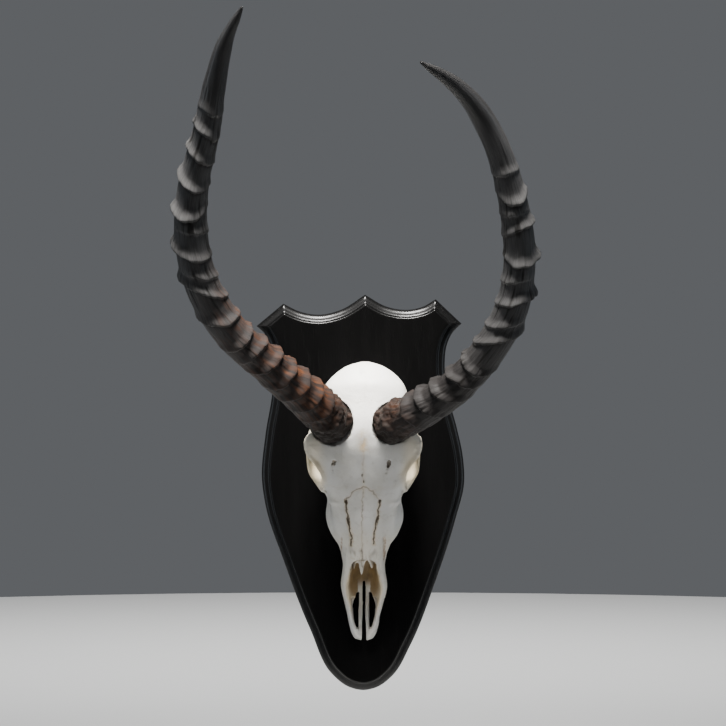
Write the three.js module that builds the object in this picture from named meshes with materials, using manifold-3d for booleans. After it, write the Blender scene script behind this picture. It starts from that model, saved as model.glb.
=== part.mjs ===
// An impala ram's skull with its horns, fixed on a black shield-shaped wooden board.
// Units are millimetres. +Z is up and the face looks along -Y.
// The origin is the middle of the board's back.
import * as THREE from "three";
import { mergeVertices } from "three/addons/utils/BufferGeometryUtils.js";
import Module from "manifold-3d";

const wasm = await Module();
wasm.setup();

// Driving dimensions.
const BOARD_THICKNESS = 20;
const BOARD_EDGE_SPACING = 15;
const GAP = 0.35;
const SKULL_X = 0.6;
const FORAMEN_RADIUS = 9;
const NOSE_CLEFT_WIDTH = 2;
const TOOTH_HEIGHT = 21;
const TOOTH_ROW_FRONT = -27;
const TOOTH_ROW_X = 23.5;
const TOOTH_ROW_BULGE = 5;
const NASAL_THICKNESS = 5;
const MUZZLE_THICKNESS = 7;
const SCREW_RADIUS = 2.4;
const SCREW_HEAD_RADIUS = 5;
const SCREW_HEAD_EDGE = 0.4;
const SCREW_TIP_RADIUS = 0.5;
const SCREW_TIP_LENGTH = 6;
const SCREW_LENGTH = 56;
const SCREW_SINK = 0.6;
const SCREW_SIDES = 8;
const SCREW_HEIGHTS = { screw_upper: 98, screw_lower: 12 };
const HORN_SIDES = 14;
const TIP_ROWS = 6;
const SEAT_ROWS = 6;
const MERGE_DISTANCE = 1e-3;

const TOWARDS_VIEWER = new THREE.Vector3(0, -1, 0);
const ACROSS = new THREE.Vector3(1, 0, 0);
const UP = new THREE.Vector3(0, 0, 1);

const MATERIALS = {
  bone: new THREE.MeshStandardMaterial({ color: 0xe9e4d8, roughness: 0.6, metalness: 0 }),
  tooth: new THREE.MeshStandardMaterial({ color: 0xe4dcc6, roughness: 0.35, metalness: 0 }),
  horn: new THREE.MeshStandardMaterial({ color: 0x3a322e, roughness: 0.5, metalness: 0 }),
  wood: new THREE.MeshStandardMaterial({ color: 0x0d0d0e, roughness: 0.4, metalness: 0 }),
  steel: new THREE.MeshStandardMaterial({ color: 0x9a9a98, roughness: 0.35, metalness: 1 }),
};

// Solids and booleans.

function toSolid(geometry) {
  const bare = new THREE.BufferGeometry();
  bare.setAttribute("position", geometry.getAttribute("position"));
  bare.setIndex(geometry.index);
  const merged = mergeVertices(bare, MERGE_DISTANCE);
  const triVerts = new Uint32Array(merged.index.array);
  const build = () =>
    new wasm.Manifold(
      new wasm.Mesh({ numProp: 3, vertProperties: merged.attributes.position.array, triVerts }),
    );
  const made = build();
  if (made.volume() > 0) return made;
  for (let k = 0; k < triVerts.length; k += 3) {
    [triVerts[k + 1], triVerts[k + 2]] = [triVerts[k + 2], triVerts[k + 1]];
  }
  return build();
}

function toGeometry(solid) {
  const mesh = solid.getMesh();
  const geometry = new THREE.BufferGeometry();
  geometry.setAttribute("position", new THREE.BufferAttribute(mesh.vertProperties, 3));
  geometry.setIndex(new THREE.BufferAttribute(mesh.triVerts, 1));
  geometry.computeVertexNormals();
  return geometry;
}

function joined(solids) {
  return solids.reduce((sum, piece) => sum.add(piece));
}

function piece(name, solid, material) {
  const mesh = new THREE.Mesh(toGeometry(solid), material);
  mesh.name = name;
  return mesh;
}

// A closed skin: a unit cylinder whose rows of points are each put where place(row, angle, reach) says.
// reach is 1 on the wall and 0 at the middle of the two end caps.
function skin(sides, rows, place) {
  const geometry = new THREE.CylinderGeometry(1, 1, 1, sides, rows - 1, false);
  const position = geometry.getAttribute("position");
  for (let k = 0; k < position.count; k++) {
    const row = Math.round((0.5 - position.getY(k)) * (rows - 1));
    const reach = Math.hypot(position.getX(k), position.getZ(k)) > 0.5 ? 1 : 0;
    const angle = Math.atan2(position.getZ(k), position.getX(k));
    const point = place(row, angle, reach);
    position.setXYZ(k, point.x, point.y, point.z);
  }
  return toSolid(geometry);
}

// A point of the skull, from its place across, its height over the board's front and its place up.
function at(x, height, z) {
  return new THREE.Vector3(x + SKULL_X, -(BOARD_THICKNESS + height), z);
}

function rounded(value, power) {
  return Math.sign(value) * Math.abs(value) ** (2 / power);
}

// A bone: sections [x, height, z, half width, half depth] joined by a smooth curve. Each section is a
// superellipse in the plane of the two directions given.
function bone(sections, { sides = 12, rows = 8, power = 2.2, wide = ACROSS, deep = TOWARDS_VIEWER } = {}) {
  const path = new THREE.CatmullRomCurve3(sections.map(([x, height, z]) => at(x, height, z)));
  const girth = new THREE.CatmullRomCurve3(
    sections.map(([, , , halfWidth, halfDepth]) => new THREE.Vector3(halfWidth, halfDepth, 0)),
  );
  return skin(sides, rows, (row, angle, reach) => {
    const t = row / (rows - 1);
    const size = girth.getPoint(t);
    return path
      .getPoint(t)
      .addScaledVector(wide, reach * size.x * rounded(Math.cos(angle), power))
      .addScaledVector(deep, reach * size.y * rounded(Math.sin(angle), power));
  });
}

// A rounded lump of bone with the given half sizes across, in height and up.
function lump(x, height, z, halfWidth, halfHeight, halfLength) {
  const geometry = new THREE.SphereGeometry(1, 8, 5);
  geometry.scale(halfWidth, halfHeight, halfLength);
  const centre = at(x, height, z);
  geometry.translate(centre.x, centre.y, centre.z);
  return toSolid(geometry);
}

function bothSides(make) {
  return [-1, 1].map(make);
}

// The horns. Each follows its own curve, from the middle of its base to its tip, and has its own
// ridges: [place of the crest on the outer side, place on the inner side, share of the full height on
// the outer side], in millimetres along the curve. A share of 0 is a ridge that fades out halfway round.
// From ridgesEnd on the horn is smooth.

const HORNS = {
  horn_left: {
    side: -1,
    girth: 1,
    ridgesEnd: 400,
    curve: [
      [-27, -105, 71], [-52, -144, 96], [-87, -179, 127], [-122, -206, 160], [-146, -228, 201],
      [-155, -248, 246], [-151, -266, 292], [-139, -286, 333], [-129, -310, 376], [-119, -333, 408],
      [-103, -356, 435],
    ],
    ridges: [
      [30, 26, 1], [47, 42, 1], [65, 59, 1], [83, 78, 1], [103, 97, 1], [128, 115, 1],
      [142, 135, 0], [160, 158, 1], [194, 178, 1], [232, 200, 1], [241, 225, 0], [264, 249, 1],
      [279, 274, 0], [296, 299, 1], [327, 320, 1], [353, 343, 1], [377, 366, 1], [394, 390, 0.6],
    ],
  },
  horn_right: {
    side: 1,
    girth: 0.95,
    ridgesEnd: 345,
    curve: [
      [24.5, -105, 71], [49, -139, 83], [85, -169, 107], [113, -192, 138], [137, -216, 184],
      [142, -235, 228], [135, -254, 274], [118, -278, 325], [95, -301, 360], [79, -315, 374],
      [49, -341, 390],
    ],
    ridges: [
      [27, 24, 1], [53, 49, 1], [75, 64, 1], [103, 83, 1], [121, 106, 0], [139, 131, 1],
      [182, 151, 1], [195, 174, 0], [217, 200, 1], [234, 225, 0], [251, 252, 1], [282, 273, 1],
      [294, 295, 0], [312, 316, 1], [332, 334, 0.5],
    ],
  },
};

// Radius of the horn between its ridges: [share of the length, radius].
const HORN_GIRTH = [
  [0, 21.3], [0.12, 19], [0.25, 17.2], [0.4, 16.7], [0.57, 15.2], [0.72, 12.9], [0.83, 10.7],
  [0.91, 7.8], [0.97, 4.2], [1, 1.2],
];
// The rounded lower end: [millimetres from the base, share of the radius].
const BASE_ROUNDING = [[-3, 0.82], [-1, 0.97], [4, 1.04]];
// How far the crests stand up: [share of the ridged length, outer side, inner side].
const RIDGE_RISE = [
  [0, 0.8, 1.5], [0.1, 0.6, 3], [0.2, 0.5, 3.5], [0.33, 0.5, 3], [0.43, 1, 1.9], [0.53, 3.3, 1.3],
  [0.65, 5.8, 1.1], [0.74, 5.6, 1], [0.82, 3.9, 1], [0.93, 2.6, 0.8], [1, 0.3, 0.3], [1.5, 0, 0],
];
// What a crest has more on the front and back than on the two sides.
const CREST_ACROSS = 1.4;
// A ridge's steep lower slope and its long upper one, and the most they take of the room between ridges.
const SLOPE_DOWN = { length: 6, most: 0.3 };
const SLOPE_UP = { length: 13, most: 0.6 };
const ROOM_AFTER_LAST_RIDGE = 40;

// The values of a table at a place, which is each row's first entry, on straight lines between its rows.
function lookUp(table, place) {
  const next = Math.max(1, table.findIndex(([end]) => end >= place));
  const [start, ...from] = table[next - 1];
  const [end, ...to] = table[next];
  const share = (place - start) / (end - start);
  return from.map((value, k) => value + (to[k] - value) * share);
}

// The rows of points along a horn: {outer, inner, share, crest, strength}. outer and inner are places on
// the two sides, share is of the radius, and crest is 1 on a ridge.
function hornRows(horn, length) {
  const rows = BASE_ROUNDING.map(([place, share]) => {
    return { outer: place, inner: place, share, crest: 0, strength: 0 };
  });
  horn.ridges.forEach(([outer, inner, strength], k) => {
    const next = horn.ridges[k + 1] ?? [outer + ROOM_AFTER_LAST_RIDGE, inner + ROOM_AFTER_LAST_RIDGE];
    const room = Math.min(next[0] - outer, next[1] - inner);
    const down = Math.min(SLOPE_DOWN.length, room * SLOPE_DOWN.most);
    const up = Math.min(SLOPE_UP.length, room * SLOPE_UP.most);
    for (const [step, crest] of [[-down, 0], [0, 1], [up, 0]]) {
      rows.push({ outer: outer + step, inner: inner + step, share: 1, crest, strength });
    }
  });
  const start = rows.at(-1).outer;
  for (let k = 1; k <= TIP_ROWS; k++) {
    const place = start + ((length - start) * k) / TIP_ROWS;
    rows.push({ outer: place, inner: place, share: 1, crest: 0, strength: 0 });
  }
  return rows;
}

// The horn's solid. grow makes it fatter and longer at the base, to cut its seat in the skull.
function hornSolid(horn, grow = 0, lastRow = Infinity) {
  const curve = new THREE.CatmullRomCurve3(horn.curve.map(([x, y, z]) => new THREE.Vector3(x, y, z)));
  const length = curve.getLength();
  const rows = hornRows(horn, length).slice(0, lastRow);
  return skin(HORN_SIDES, rows.length, (row, angle, reach) => {
    const { outer, inner, share, crest, strength } = rows[row];
    const outerShare = (1 + Math.cos(angle)) / 2;
    const place = outer * outerShare + inner * (1 - outerShare) - (row === 0 ? grow : 0);
    const along = Math.min(Math.max(place / length, 0), 1);
    const tangent = curve.getTangentAt(along);
    const outward = new THREE.Vector3().crossVectors(tangent, TOWARDS_VIEWER).multiplyScalar(horn.side);
    outward.normalize();
    const front = new THREE.Vector3().crossVectors(outward, tangent).multiplyScalar(horn.side);
    const [outerRise, innerRise] = lookUp(RIDGE_RISE, Math.max(0, place / horn.ridgesEnd));
    const across = CREST_ACROSS * Math.sin(angle) ** 2 * Math.min(1, innerRise);
    const rise = outerRise * strength * outerShare + innerRise * (1 - outerShare) + across;
    const [girth] = lookUp(HORN_GIRTH, along);
    const radius = horn.girth * girth * share + crest * rise + grow;
    return curve
      .getPointAt(along)
      .addScaledVector(tangent, Math.min(place, 0))
      .addScaledVector(outward, reach * radius * Math.cos(angle))
      .addScaledVector(front, reach * radius * Math.sin(angle));
  });
}

// The pedicle of bone that a horn sits on, from inside the skull to the horn's base: [place, radius].
const PEDICLE = [[-24, 24], [-8, 20], [0, 17.5]];

function pedicle(horn) {
  const [base, next] = horn.curve.map(([x, y, z]) => new THREE.Vector3(x, y, z));
  const along = next.clone().sub(base).normalize();
  const wide = new THREE.Vector3().crossVectors(along, TOWARDS_VIEWER).normalize();
  const deep = new THREE.Vector3().crossVectors(wide, along);
  return skin(HORN_SIDES, PEDICLE.length, (row, angle, reach) => {
    const [place, radius] = PEDICLE[row];
    return base
      .clone()
      .addScaledVector(along, place)
      .addScaledVector(wide, reach * radius * Math.cos(angle))
      .addScaledVector(deep, reach * radius * Math.sin(angle));
  });
}

// The cheek teeth: [name, length along the row, width], from the front of the row to its back.
const TEETH = [
  ["premolar_2", 7.5, 7.5], ["premolar_3", 8.5, 9.5], ["premolar_4", 9, 11],
  ["molar_1", 12, 13], ["molar_2", 14, 13.5], ["molar_3", 14.5, 12.5],
];

// The share of half a wave that a row of teeth follows.
const BOW_SHARE = 0.62;
// Outline of a tooth in units of its half width (out to the cheek is +) and half length: three ribs on the
// cheek side and two lobes on the tongue side.
const TOOTH_OUTLINE = [
  [0.72, -1], [1, -0.78], [0.66, -0.45], [0.95, 0], [0.66, 0.45], [1, 0.8], [0.72, 1],
  [-0.35, 1], [-0.95, 0.62], [-0.6, 0.05], [-1, -0.5], [-0.4, -1],
];

// The teeth of one row with the middle of each along it.
function toothPlaces() {
  let z = TOOTH_ROW_FRONT;
  return TEETH.map(([name, length, width]) => {
    const middle = z + length / 2;
    z += length;
    return { name, length, width, middle };
  });
}

// How far out the row is at a place up: it bows outwards, most behind its middle.
function toothRowX(z) {
  const rowLength = TEETH.reduce((sum, [, length]) => sum + length, 0);
  const bow = Math.sin((BOW_SHARE * Math.PI * (z - TOOTH_ROW_FRONT)) / rowLength);
  return TOOTH_ROW_X + TOOTH_ROW_BULGE * bow;
}

// One tooth, from its chewing face at the board to its root in the jaw.
function toothSolid({ length, width, middle }, side) {
  const halfWidth = (side * width) / 2;
  const halfLength = (length - GAP) / 2;
  const outline = new THREE.Shape(
    TOOTH_OUTLINE.map(([across, along]) => new THREE.Vector2(across * halfWidth, along * halfLength)),
  );
  const geometry = new THREE.ExtrudeGeometry(outline, { depth: TOOTH_HEIGHT - GAP, bevelEnabled: false });
  geometry.rotateX(Math.PI / 2);
  geometry.translate(SKULL_X + side * toothRowX(middle), -(BOARD_THICKNESS + GAP), middle);
  return toSolid(geometry);
}

// The sockets of one row of teeth run together in one trough, which is a gap wider than each tooth.
function toothTrough(side) {
  const wall = (way) => {
    const points = toothPlaces().flatMap(({ middle, length, width }) => {
      const x = side * (toothRowX(middle) + way * (width / 2 + GAP));
      return [new THREE.Vector2(x, middle - length / 2), new THREE.Vector2(x, middle + length / 2)];
    });
    points[0].y -= GAP;
    points.at(-1).y += GAP;
    return points;
  };
  const outline = new THREE.Shape([...wall(1), ...wall(-1).reverse()]);
  const geometry = new THREE.ExtrudeGeometry(outline, { depth: TOOTH_HEIGHT + GAP, bevelEnabled: false });
  geometry.rotateX(Math.PI / 2);
  geometry.translate(SKULL_X, -BOARD_THICKNESS, 0);
  return toSolid(geometry);
}

// The skull.

// Middle of the skull: [place up, height of its top, height of its underside, half width].
const CRANIUM = [
  [96, 88, 34, 26], [84, 96, 35, 30], [70, 99, 36, 29], [54, 97, 34, 24], [38, 91, 28, 22],
  [20, 83, 20, 25], [6, 76.5, 16, 32], [-8, 70.5, 14, 37], [-22, 64.5, 13, 38.4], [-38, 58, 13, 32.8],
  [-50, 53, 13, 25], [-62, 48.5, 13, 21.6], [-76, 42, 13, 21.3], [-90, 33, 12.5, 23], [-102, 25, 12, 20.5],
];

function cranium() {
  const sections = CRANIUM.map(([z, top, under, half]) => {
    return [0, (top + under) / 2, z, half, (top - under) / 2];
  });
  return bone(sections, { sides: 18, rows: 15, power: 2.6 });
}

function braincase() {
  return joined([
    bone(
      [
        [0, 60, 132, 6, 6], [0, 61, 127.5, 17, 15], [0, 62, 114, 35, 28], [0, 64, 96, 40.5, 31],
        [0, 66, 76, 34, 28],
      ],
      { sides: 16, rows: 7, power: 2.3 },
    ),
    // The nuchal crest, which runs across the back of the braincase.
    bone(
      [
        [-43, 40, 97, 7, 8], [-36, 46, 107, 6, 10], [0, 52, 127, 5, 12], [36, 46, 107, 6, 10],
        [43, 40, 97, 7, 8],
      ],
      { sides: 6, rows: 9, wide: UP },
    ),
    // The floor of the braincase.
    bone(
      [
        [0, 30, 127, 15, 14], [0, 31, 112, 24, 14], [0, 27, 96, 16, 10], [0, 28, 68, 12, 10],
        [0, 27, 42, 14, 8],
      ],
      { sides: 8, rows: 6 },
    ),
  ]);
}

// The shelf of the forehead over one eye, out to the upper rim of its orbit. It slopes down outwards.
function browShelf(side) {
  return bone(
    [
      [side * 26, 85, 78, 12, 7], [side * 29, 87, 64, 21, 8], [side * 32, 86.5, 52, 25, 8],
      [side * 31, 84.5, 43, 24, 7.5], [side * 27, 81.5, 34, 20, 7.5], [side * 22, 77, 23, 17, 7.5],
      [side * 21.5, 71, 11, 16, 7.5], [side * 20, 61, -6, 13, 7],
    ],
    { sides: 10, rows: 8, power: 2.6, wide: new THREE.Vector3(1, side * 0.14, 0) },
  );
}

// The cheek bone: the lower rim of the orbit, and behind it the arch to the side of the braincase.
function cheekArch(side) {
  return bone(
    [
      [side * 29, 52, -5, 6, 14], [side * 34, 49, 4, 5, 13], [side * 38.5, 45, 11, 6, 10],
      [side * 45.5, 42.5, 20, 7, 8.5], [side * 50, 41.5, 34, 5.5, 7.5], [side * 52, 41, 48, 4, 6],
      [side * 51, 41, 62, 3.2, 5], [side * 45, 41.5, 78, 3.5, 5], [side * 36, 43, 92, 5, 6],
    ],
    { sides: 8, rows: 9 },
  );
}

// The bar behind the eye, from the forehead down to the cheek arch.
function barBehindEye(side) {
  return bone(
    [
      [side * 45, 87, 55, 8, 7], [side * 52.5, 76, 55, 4, 6], [side * 53, 60, 52, 3.2, 5],
      [side * 51, 42, 49, 3.5, 6],
    ],
    { sides: 8, rows: 6, deep: UP },
  );
}

// The bone that holds one row of cheek teeth.
function toothRidge(side) {
  return bone(
    [
      [side * 22, 15, -34, 5, 8], [side * 24, 17, -20, 8, 9], [side * 28, 18, 8, 9, 10],
      [side * 28, 19, 34, 8.5, 10], [side * 25, 24, 46, 4, 8],
    ],
    { sides: 10, rows: 5 },
  );
}

// One side of the back of the skull: the condyle that bore on the neck, the bulla of the ear and the
// process that points down beside them.
function occiput(side) {
  return joined([
    lump(side * 12.5, 21, 116.5, 9, 12, 10),
    lump(side * 21, 24, 92, 7.5, 11, 11),
    bone(
      [
        [side * 34, 44, 101, 7, 7], [side * 31.5, 28, 106, 6, 6], [side * 28, 12, 106, 4, 4.5],
        [side * 25, 1.2, 104, 2, 2],
      ],
      { sides: 8, rows: 4, deep: UP },
    ),
  ]);
}

// A plate with the given outline [x, z] and holes, which faces the viewer. height(x, z) is how high its
// underside is over the board's front.
function plate(outline, holes, thickness, height) {
  const shape = new THREE.Shape(outline.map(([x, z]) => new THREE.Vector2(x, z)));
  shape.holes = holes.map((hole) => new THREE.Path(hole.map(([x, z]) => new THREE.Vector2(x, z))));
  const geometry = new THREE.ExtrudeGeometry(shape, { depth: thickness, bevelEnabled: false });
  const position = geometry.getAttribute("position");
  for (let k = 0; k < position.count; k++) {
    const [x, z, forward] = [position.getX(k), position.getY(k), position.getZ(k)];
    const point = at(x, forward + height(x, z), z);
    position.setXYZ(k, point.x, point.y, point.z);
  }
  return toSolid(geometry);
}

// The nasal bones overhang the nose hole with a tip on each side and one in the middle.
const NASAL_OUTLINE = [
  [-12, -40], [-9.6, -71.5], [-6, -63], [-1.8, -77], [3.4, -61.5], [7.6, -71.5], [12, -40],
];

function nasals() {
  return plate(NASAL_OUTLINE, [], NASAL_THICKNESS, (x, z) => 42 + (z + 60) * 0.42 - x * x * 0.06);
}

function noseHole() {
  return bone(
    [
      [0, 33, -50, 9, 9], [0, 33, -62, 12, 13], [0, 40, -74, 13, 24], [0, 40, -92, 16.5, 25],
      [0, 36, -109, 12.5, 25], [0, 31, -130, 7, 23], [0, 28, -138, 3, 21],
    ],
    { sides: 8, rows: 6, power: 2.4 },
  );
}

// The bar of bone beside the nose hole, which runs down to the muzzle's end.
function noseSide(side) {
  return bone(
    [
      [side * 19, 17, -90, 4.5, 14], [side * 17.4, 14, -106, 4, 10], [side * 14.2, 10.5, -120, 3.6, 7.6],
      [side * 6.5, 6, -144, 2.6, 3.4],
    ],
    { sides: 6, rows: 4 },
  );
}

// The premaxillae seen from the front: half of the outline, and the slit on each side of the middle.
const MUZZLE_EDGE = [
  [3, -146], [9, -143], [12.5, -137], [14.2, -131], [16.8, -119], [20.2, -106], [23, -94], [20, -84],
];
const MUZZLE_SLIT = [
  [7.5, -99], [10.5, -108], [10.8, -117], [9, -124], [6.2, -131], [5.4, -124], [5.4, -110],
];

function muzzle() {
  const mirror = (points) => points.map(([x, z]) => [-x, z]);
  const outline = [...MUZZLE_EDGE, ...mirror(MUZZLE_EDGE).reverse()];
  const holes = [MUZZLE_SLIT, mirror(MUZZLE_SLIT)];
  return plate(outline, holes, MUZZLE_THICKNESS, (x, z) => 2.5 + (z + 146) * 0.12 - Math.abs(x) * 0.08);
}

// The narrow gap between the two premaxillae.
function noseCleft() {
  const geometry = new THREE.BoxGeometry(NOSE_CLEFT_WIDTH, 60, 40);
  const centre = at(0, 20, -130);
  geometry.translate(centre.x, centre.y, centre.z);
  return toSolid(geometry);
}

// The round hole at the back through which the spinal cord passed.
function foramen() {
  const geometry = new THREE.CylinderGeometry(FORAMEN_RADIUS, FORAMEN_RADIUS, 34, 14);
  geometry.rotateX(Math.PI / 2);
  const centre = at(0, 31, 126);
  geometry.translate(centre.x, centre.y, centre.z);
  return toSolid(geometry);
}

// The hollow between the two rows of teeth.
function palateHollow() {
  return bone(
    [[0, 6, -52, 8, 7], [0, 8, -20, 13, 11], [0, 9, 20, 17, 12], [0, 18, 46, 9, 12], [0, 24, 62, 6, 8]],
    { sides: 8, rows: 5 },
  );
}

function skullSolid() {
  const parts = [cranium(), braincase(), muzzle()];
  for (const make of [browShelf, cheekArch, barBehindEye, toothRidge, occiput, noseSide]) {
    parts.push(...bothSides(make));
  }
  const cuts = [noseHole(), noseCleft(), foramen(), palateHollow(), ...bothSides(toothTrough)];
  for (const horn of Object.values(HORNS)) {
    parts.push(pedicle(horn));
    cuts.push(hornSolid(horn, GAP, SEAT_ROWS));
  }
  for (const z of Object.values(SCREW_HEIGHTS)) {
    cuts.push(screwHole(z));
  }
  return joined(parts).subtract(joined(cuts)).add(nasals());
}

// The board. Its outline in millimetres: smooth stretches between sharp corners, as seen from the front.
const BOARD_OUTLINE = [
  [
    [99, 170], [90, 161], [84, 148], [82, 130], [85, 100], [94, 66], [100, 38], [101.5, 10], [93, -26],
    [72, -91], [48, -152], [30, -183], [14, -195], [0, -198], [-16, -194], [-31, -182], [-53, -137],
    [-79, -70], [-98, -12], [-101.5, 14], [-98, 58], [-91, 102], [-90, 130], [-93, 148], [-99, 160],
    [-107, 167.5],
  ],
  [[-107, 167.5], [-80, 190]],
  [[-80, 190], [-63, 182], [-44, 179], [-22, 184], [2, 199]],
  [[2, 199], [24, 187], [46, 184], [60, 187], [73, 194.5]],
  [[73, 194.5], [84, 184], [99, 170]],
];
// The moulded edge from the back to the front: [how far it is drawn in, how far it is from the back].
const BOARD_PROFILE = [
  [0.8, 0], [0, 1], [0, 10.5], [1.6, 13], [5, 15.2], [7.8, 16.2], [8.4, BOARD_THICKNESS],
];

function boardOutline() {
  return BOARD_OUTLINE.flatMap((stretch) => {
    const points = stretch.map(([x, z]) => new THREE.Vector2(x, z));
    if (points.length < 3) return points.slice(0, -1);
    const count = Math.round(new THREE.SplineCurve(points).getLength() / BOARD_EDGE_SPACING);
    return new THREE.SplineCurve(points).getSpacedPoints(count).slice(0, -1);
  });
}

// Direction inwards at each point of a closed outline, long enough to keep the edge parallel.
function inwardMitres(outline) {
  const turn = THREE.ShapeUtils.isClockWise(outline) ? -1 : 1;
  return outline.map((point, k) => {
    const before = point.clone().sub(outline.at(k - 1)).normalize();
    const after = outline[(k + 1) % outline.length].clone().sub(point).normalize();
    const inA = new THREE.Vector2(-before.y, before.x).multiplyScalar(turn);
    const inB = new THREE.Vector2(-after.y, after.x).multiplyScalar(turn);
    const mitre = inA.clone().add(inB).normalize();
    return mitre.divideScalar(mitre.dot(inA));
  });
}

function boardSolid() {
  const outline = boardOutline();
  const mitres = inwardMitres(outline);
  const steps = BOARD_PROFILE.length - 1;
  const geometry = new THREE.ExtrudeGeometry(new THREE.Shape(outline), {
    depth: steps,
    steps,
    bevelEnabled: false,
  });
  const position = geometry.getAttribute("position");
  for (let k = 0; k < position.count; k++) {
    const [inset, forward] = BOARD_PROFILE[Math.round(position.getZ(k))];
    const point = new THREE.Vector2(position.getX(k), position.getY(k));
    const corner = outline.findIndex((other) => other.distanceTo(point) < MERGE_DISTANCE);
    point.addScaledVector(mitres[corner], inset);
    position.setXYZ(k, point.x, -forward, point.y);
  }
  const holes = Object.values(SCREW_HEIGHTS).map(screwHole);
  return toSolid(geometry).subtract(joined(holes));
}

// A countersunk screw's form, turned about its axis and pointing forwards: start is where its head begins,
// as a distance from the board's back, and grow makes it fatter and longer.
function screwForm(z, start, grow) {
  const cone = SCREW_SINK + SCREW_HEAD_EDGE + grow;
  const profile = [
    [0, start],
    [SCREW_HEAD_RADIUS + grow, start],
    [SCREW_HEAD_RADIUS + grow, cone],
    [SCREW_RADIUS + grow, cone + SCREW_HEAD_RADIUS - SCREW_RADIUS],
    [SCREW_RADIUS + grow, SCREW_LENGTH - SCREW_TIP_LENGTH],
    [SCREW_TIP_RADIUS + grow, SCREW_LENGTH + grow],
    [0, SCREW_LENGTH + grow],
  ];
  const geometry = new THREE.LatheGeometry(profile.map(([r, y]) => new THREE.Vector2(r, y)), SCREW_SIDES);
  geometry.scale(1, -1, 1);
  geometry.translate(0, 0, z);
  return toSolid(geometry);
}

function screwSolid(z) {
  return screwForm(z, SCREW_SINK, 0);
}

// The hole for a screw starts a little behind the board, so that it is open there.
function screwHole(z) {
  return screwForm(z, -1, GAP);
}

// The whole object.

const impala = new THREE.Group();
impala.add(piece("board", boardSolid(), MATERIALS.wood));
impala.add(piece("skull", skullSolid(), MATERIALS.bone));
for (const [name, horn] of Object.entries(HORNS)) {
  impala.add(piece(name, hornSolid(horn), MATERIALS.horn));
}
for (const tooth of toothPlaces()) {
  for (const [side, word] of [[-1, "left"], [1, "right"]]) {
    impala.add(piece(`${tooth.name}_${word}`, toothSolid(tooth, side), MATERIALS.tooth));
  }
}
for (const [name, z] of Object.entries(SCREW_HEIGHTS)) {
  impala.add(piece(name, screwSolid(z), MATERIALS.steel));
}

export default impala;
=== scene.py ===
"""An impala ram's skull with ringed horns, fixed on a black shield-shaped board.

Lengths in the tables are millimetres. A place on the skull is given as across, height and up: across from
the skull's middle, height over the board's front, and up as the model's Z.
"""
import math

import bpy
import mathutils
import numpy as np
from mathutils.geometry import tessellate_polygon
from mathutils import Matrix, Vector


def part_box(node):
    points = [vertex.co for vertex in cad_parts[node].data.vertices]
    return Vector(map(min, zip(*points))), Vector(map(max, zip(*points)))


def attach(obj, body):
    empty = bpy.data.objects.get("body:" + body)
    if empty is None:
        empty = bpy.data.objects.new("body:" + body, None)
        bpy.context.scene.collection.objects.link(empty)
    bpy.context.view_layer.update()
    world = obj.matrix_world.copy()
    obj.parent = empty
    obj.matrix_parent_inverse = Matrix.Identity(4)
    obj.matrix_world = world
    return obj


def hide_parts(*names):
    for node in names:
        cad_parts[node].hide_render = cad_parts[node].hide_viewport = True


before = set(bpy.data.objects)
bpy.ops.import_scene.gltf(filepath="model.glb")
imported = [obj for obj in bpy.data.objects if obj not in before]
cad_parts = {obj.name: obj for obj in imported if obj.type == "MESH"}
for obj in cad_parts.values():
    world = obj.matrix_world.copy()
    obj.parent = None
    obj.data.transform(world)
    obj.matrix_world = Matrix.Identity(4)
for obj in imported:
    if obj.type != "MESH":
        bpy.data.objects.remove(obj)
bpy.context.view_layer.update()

bl_info = {
    "name": "Impala skull on a shield board",
    "version": (1, 0, 0),
    "blender": (4, 5, 0),
    "location": "3D View > Sidebar > Impala",
    "description": "Builds the skull, horns, teeth, board and screws around the packed model",
    "category": "Add Mesh",
}

MM = 0.001
BODY = "root"
BOARD_FRONT = -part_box("board")[0][1] / MM
SKULL_X = 0.6


# Curves, noise and meshes that every piece uses.

def through(table, places):
    """Values at places on the smooth curve through a table's rows, whose first column is the place.

    Between two rows the curve is a cubic that leaves each row with the slope across its neighbours.
    """
    table = np.asarray(table, float)
    knots, values = table[:, 0], table[:, 1:]
    slopes = np.gradient(values, knots, axis=0)
    places = np.asarray(places, float)
    row = np.clip(np.searchsorted(knots, places) - 1, 0, len(knots) - 2)
    width = (knots[row + 1] - knots[row])[..., None]
    t = np.clip((places - knots[row])[..., None] / width, 0.0, 1.0)
    ends = values[row] * (1 + 2 * t) * (1 - t) ** 2 + values[row + 1] * t ** 2 * (3 - 2 * t)
    return ends + width * (slopes[row] * t * (1 - t) ** 2 - slopes[row + 1] * t ** 2 * (1 - t))


def along_curve(points, places=None, spacing=1.0):
    """Points on the smooth curve through given points, at the given shares of its length or evenly."""
    points = np.asarray(points, float)
    chords = np.concatenate([[0], np.cumsum(np.linalg.norm(np.diff(points, axis=0), axis=1))])
    fine = through(np.column_stack([chords, points]), np.linspace(0, chords[-1], 40 * len(points)))
    run = np.concatenate([[0], np.cumsum(np.linalg.norm(np.diff(fine, axis=0), axis=1))])
    if places is None:
        places = np.linspace(0, 1, max(2, round(run[-1] / spacing) + 1))
    return np.stack([np.interp(places * run[-1], run, column) for column in fine.T], axis=-1), run[-1]


NOISE_CELLS = 40
NOISE_BLOCK = np.random.default_rng(11).uniform(-1, 1, (NOISE_CELLS,) * 3)


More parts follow.
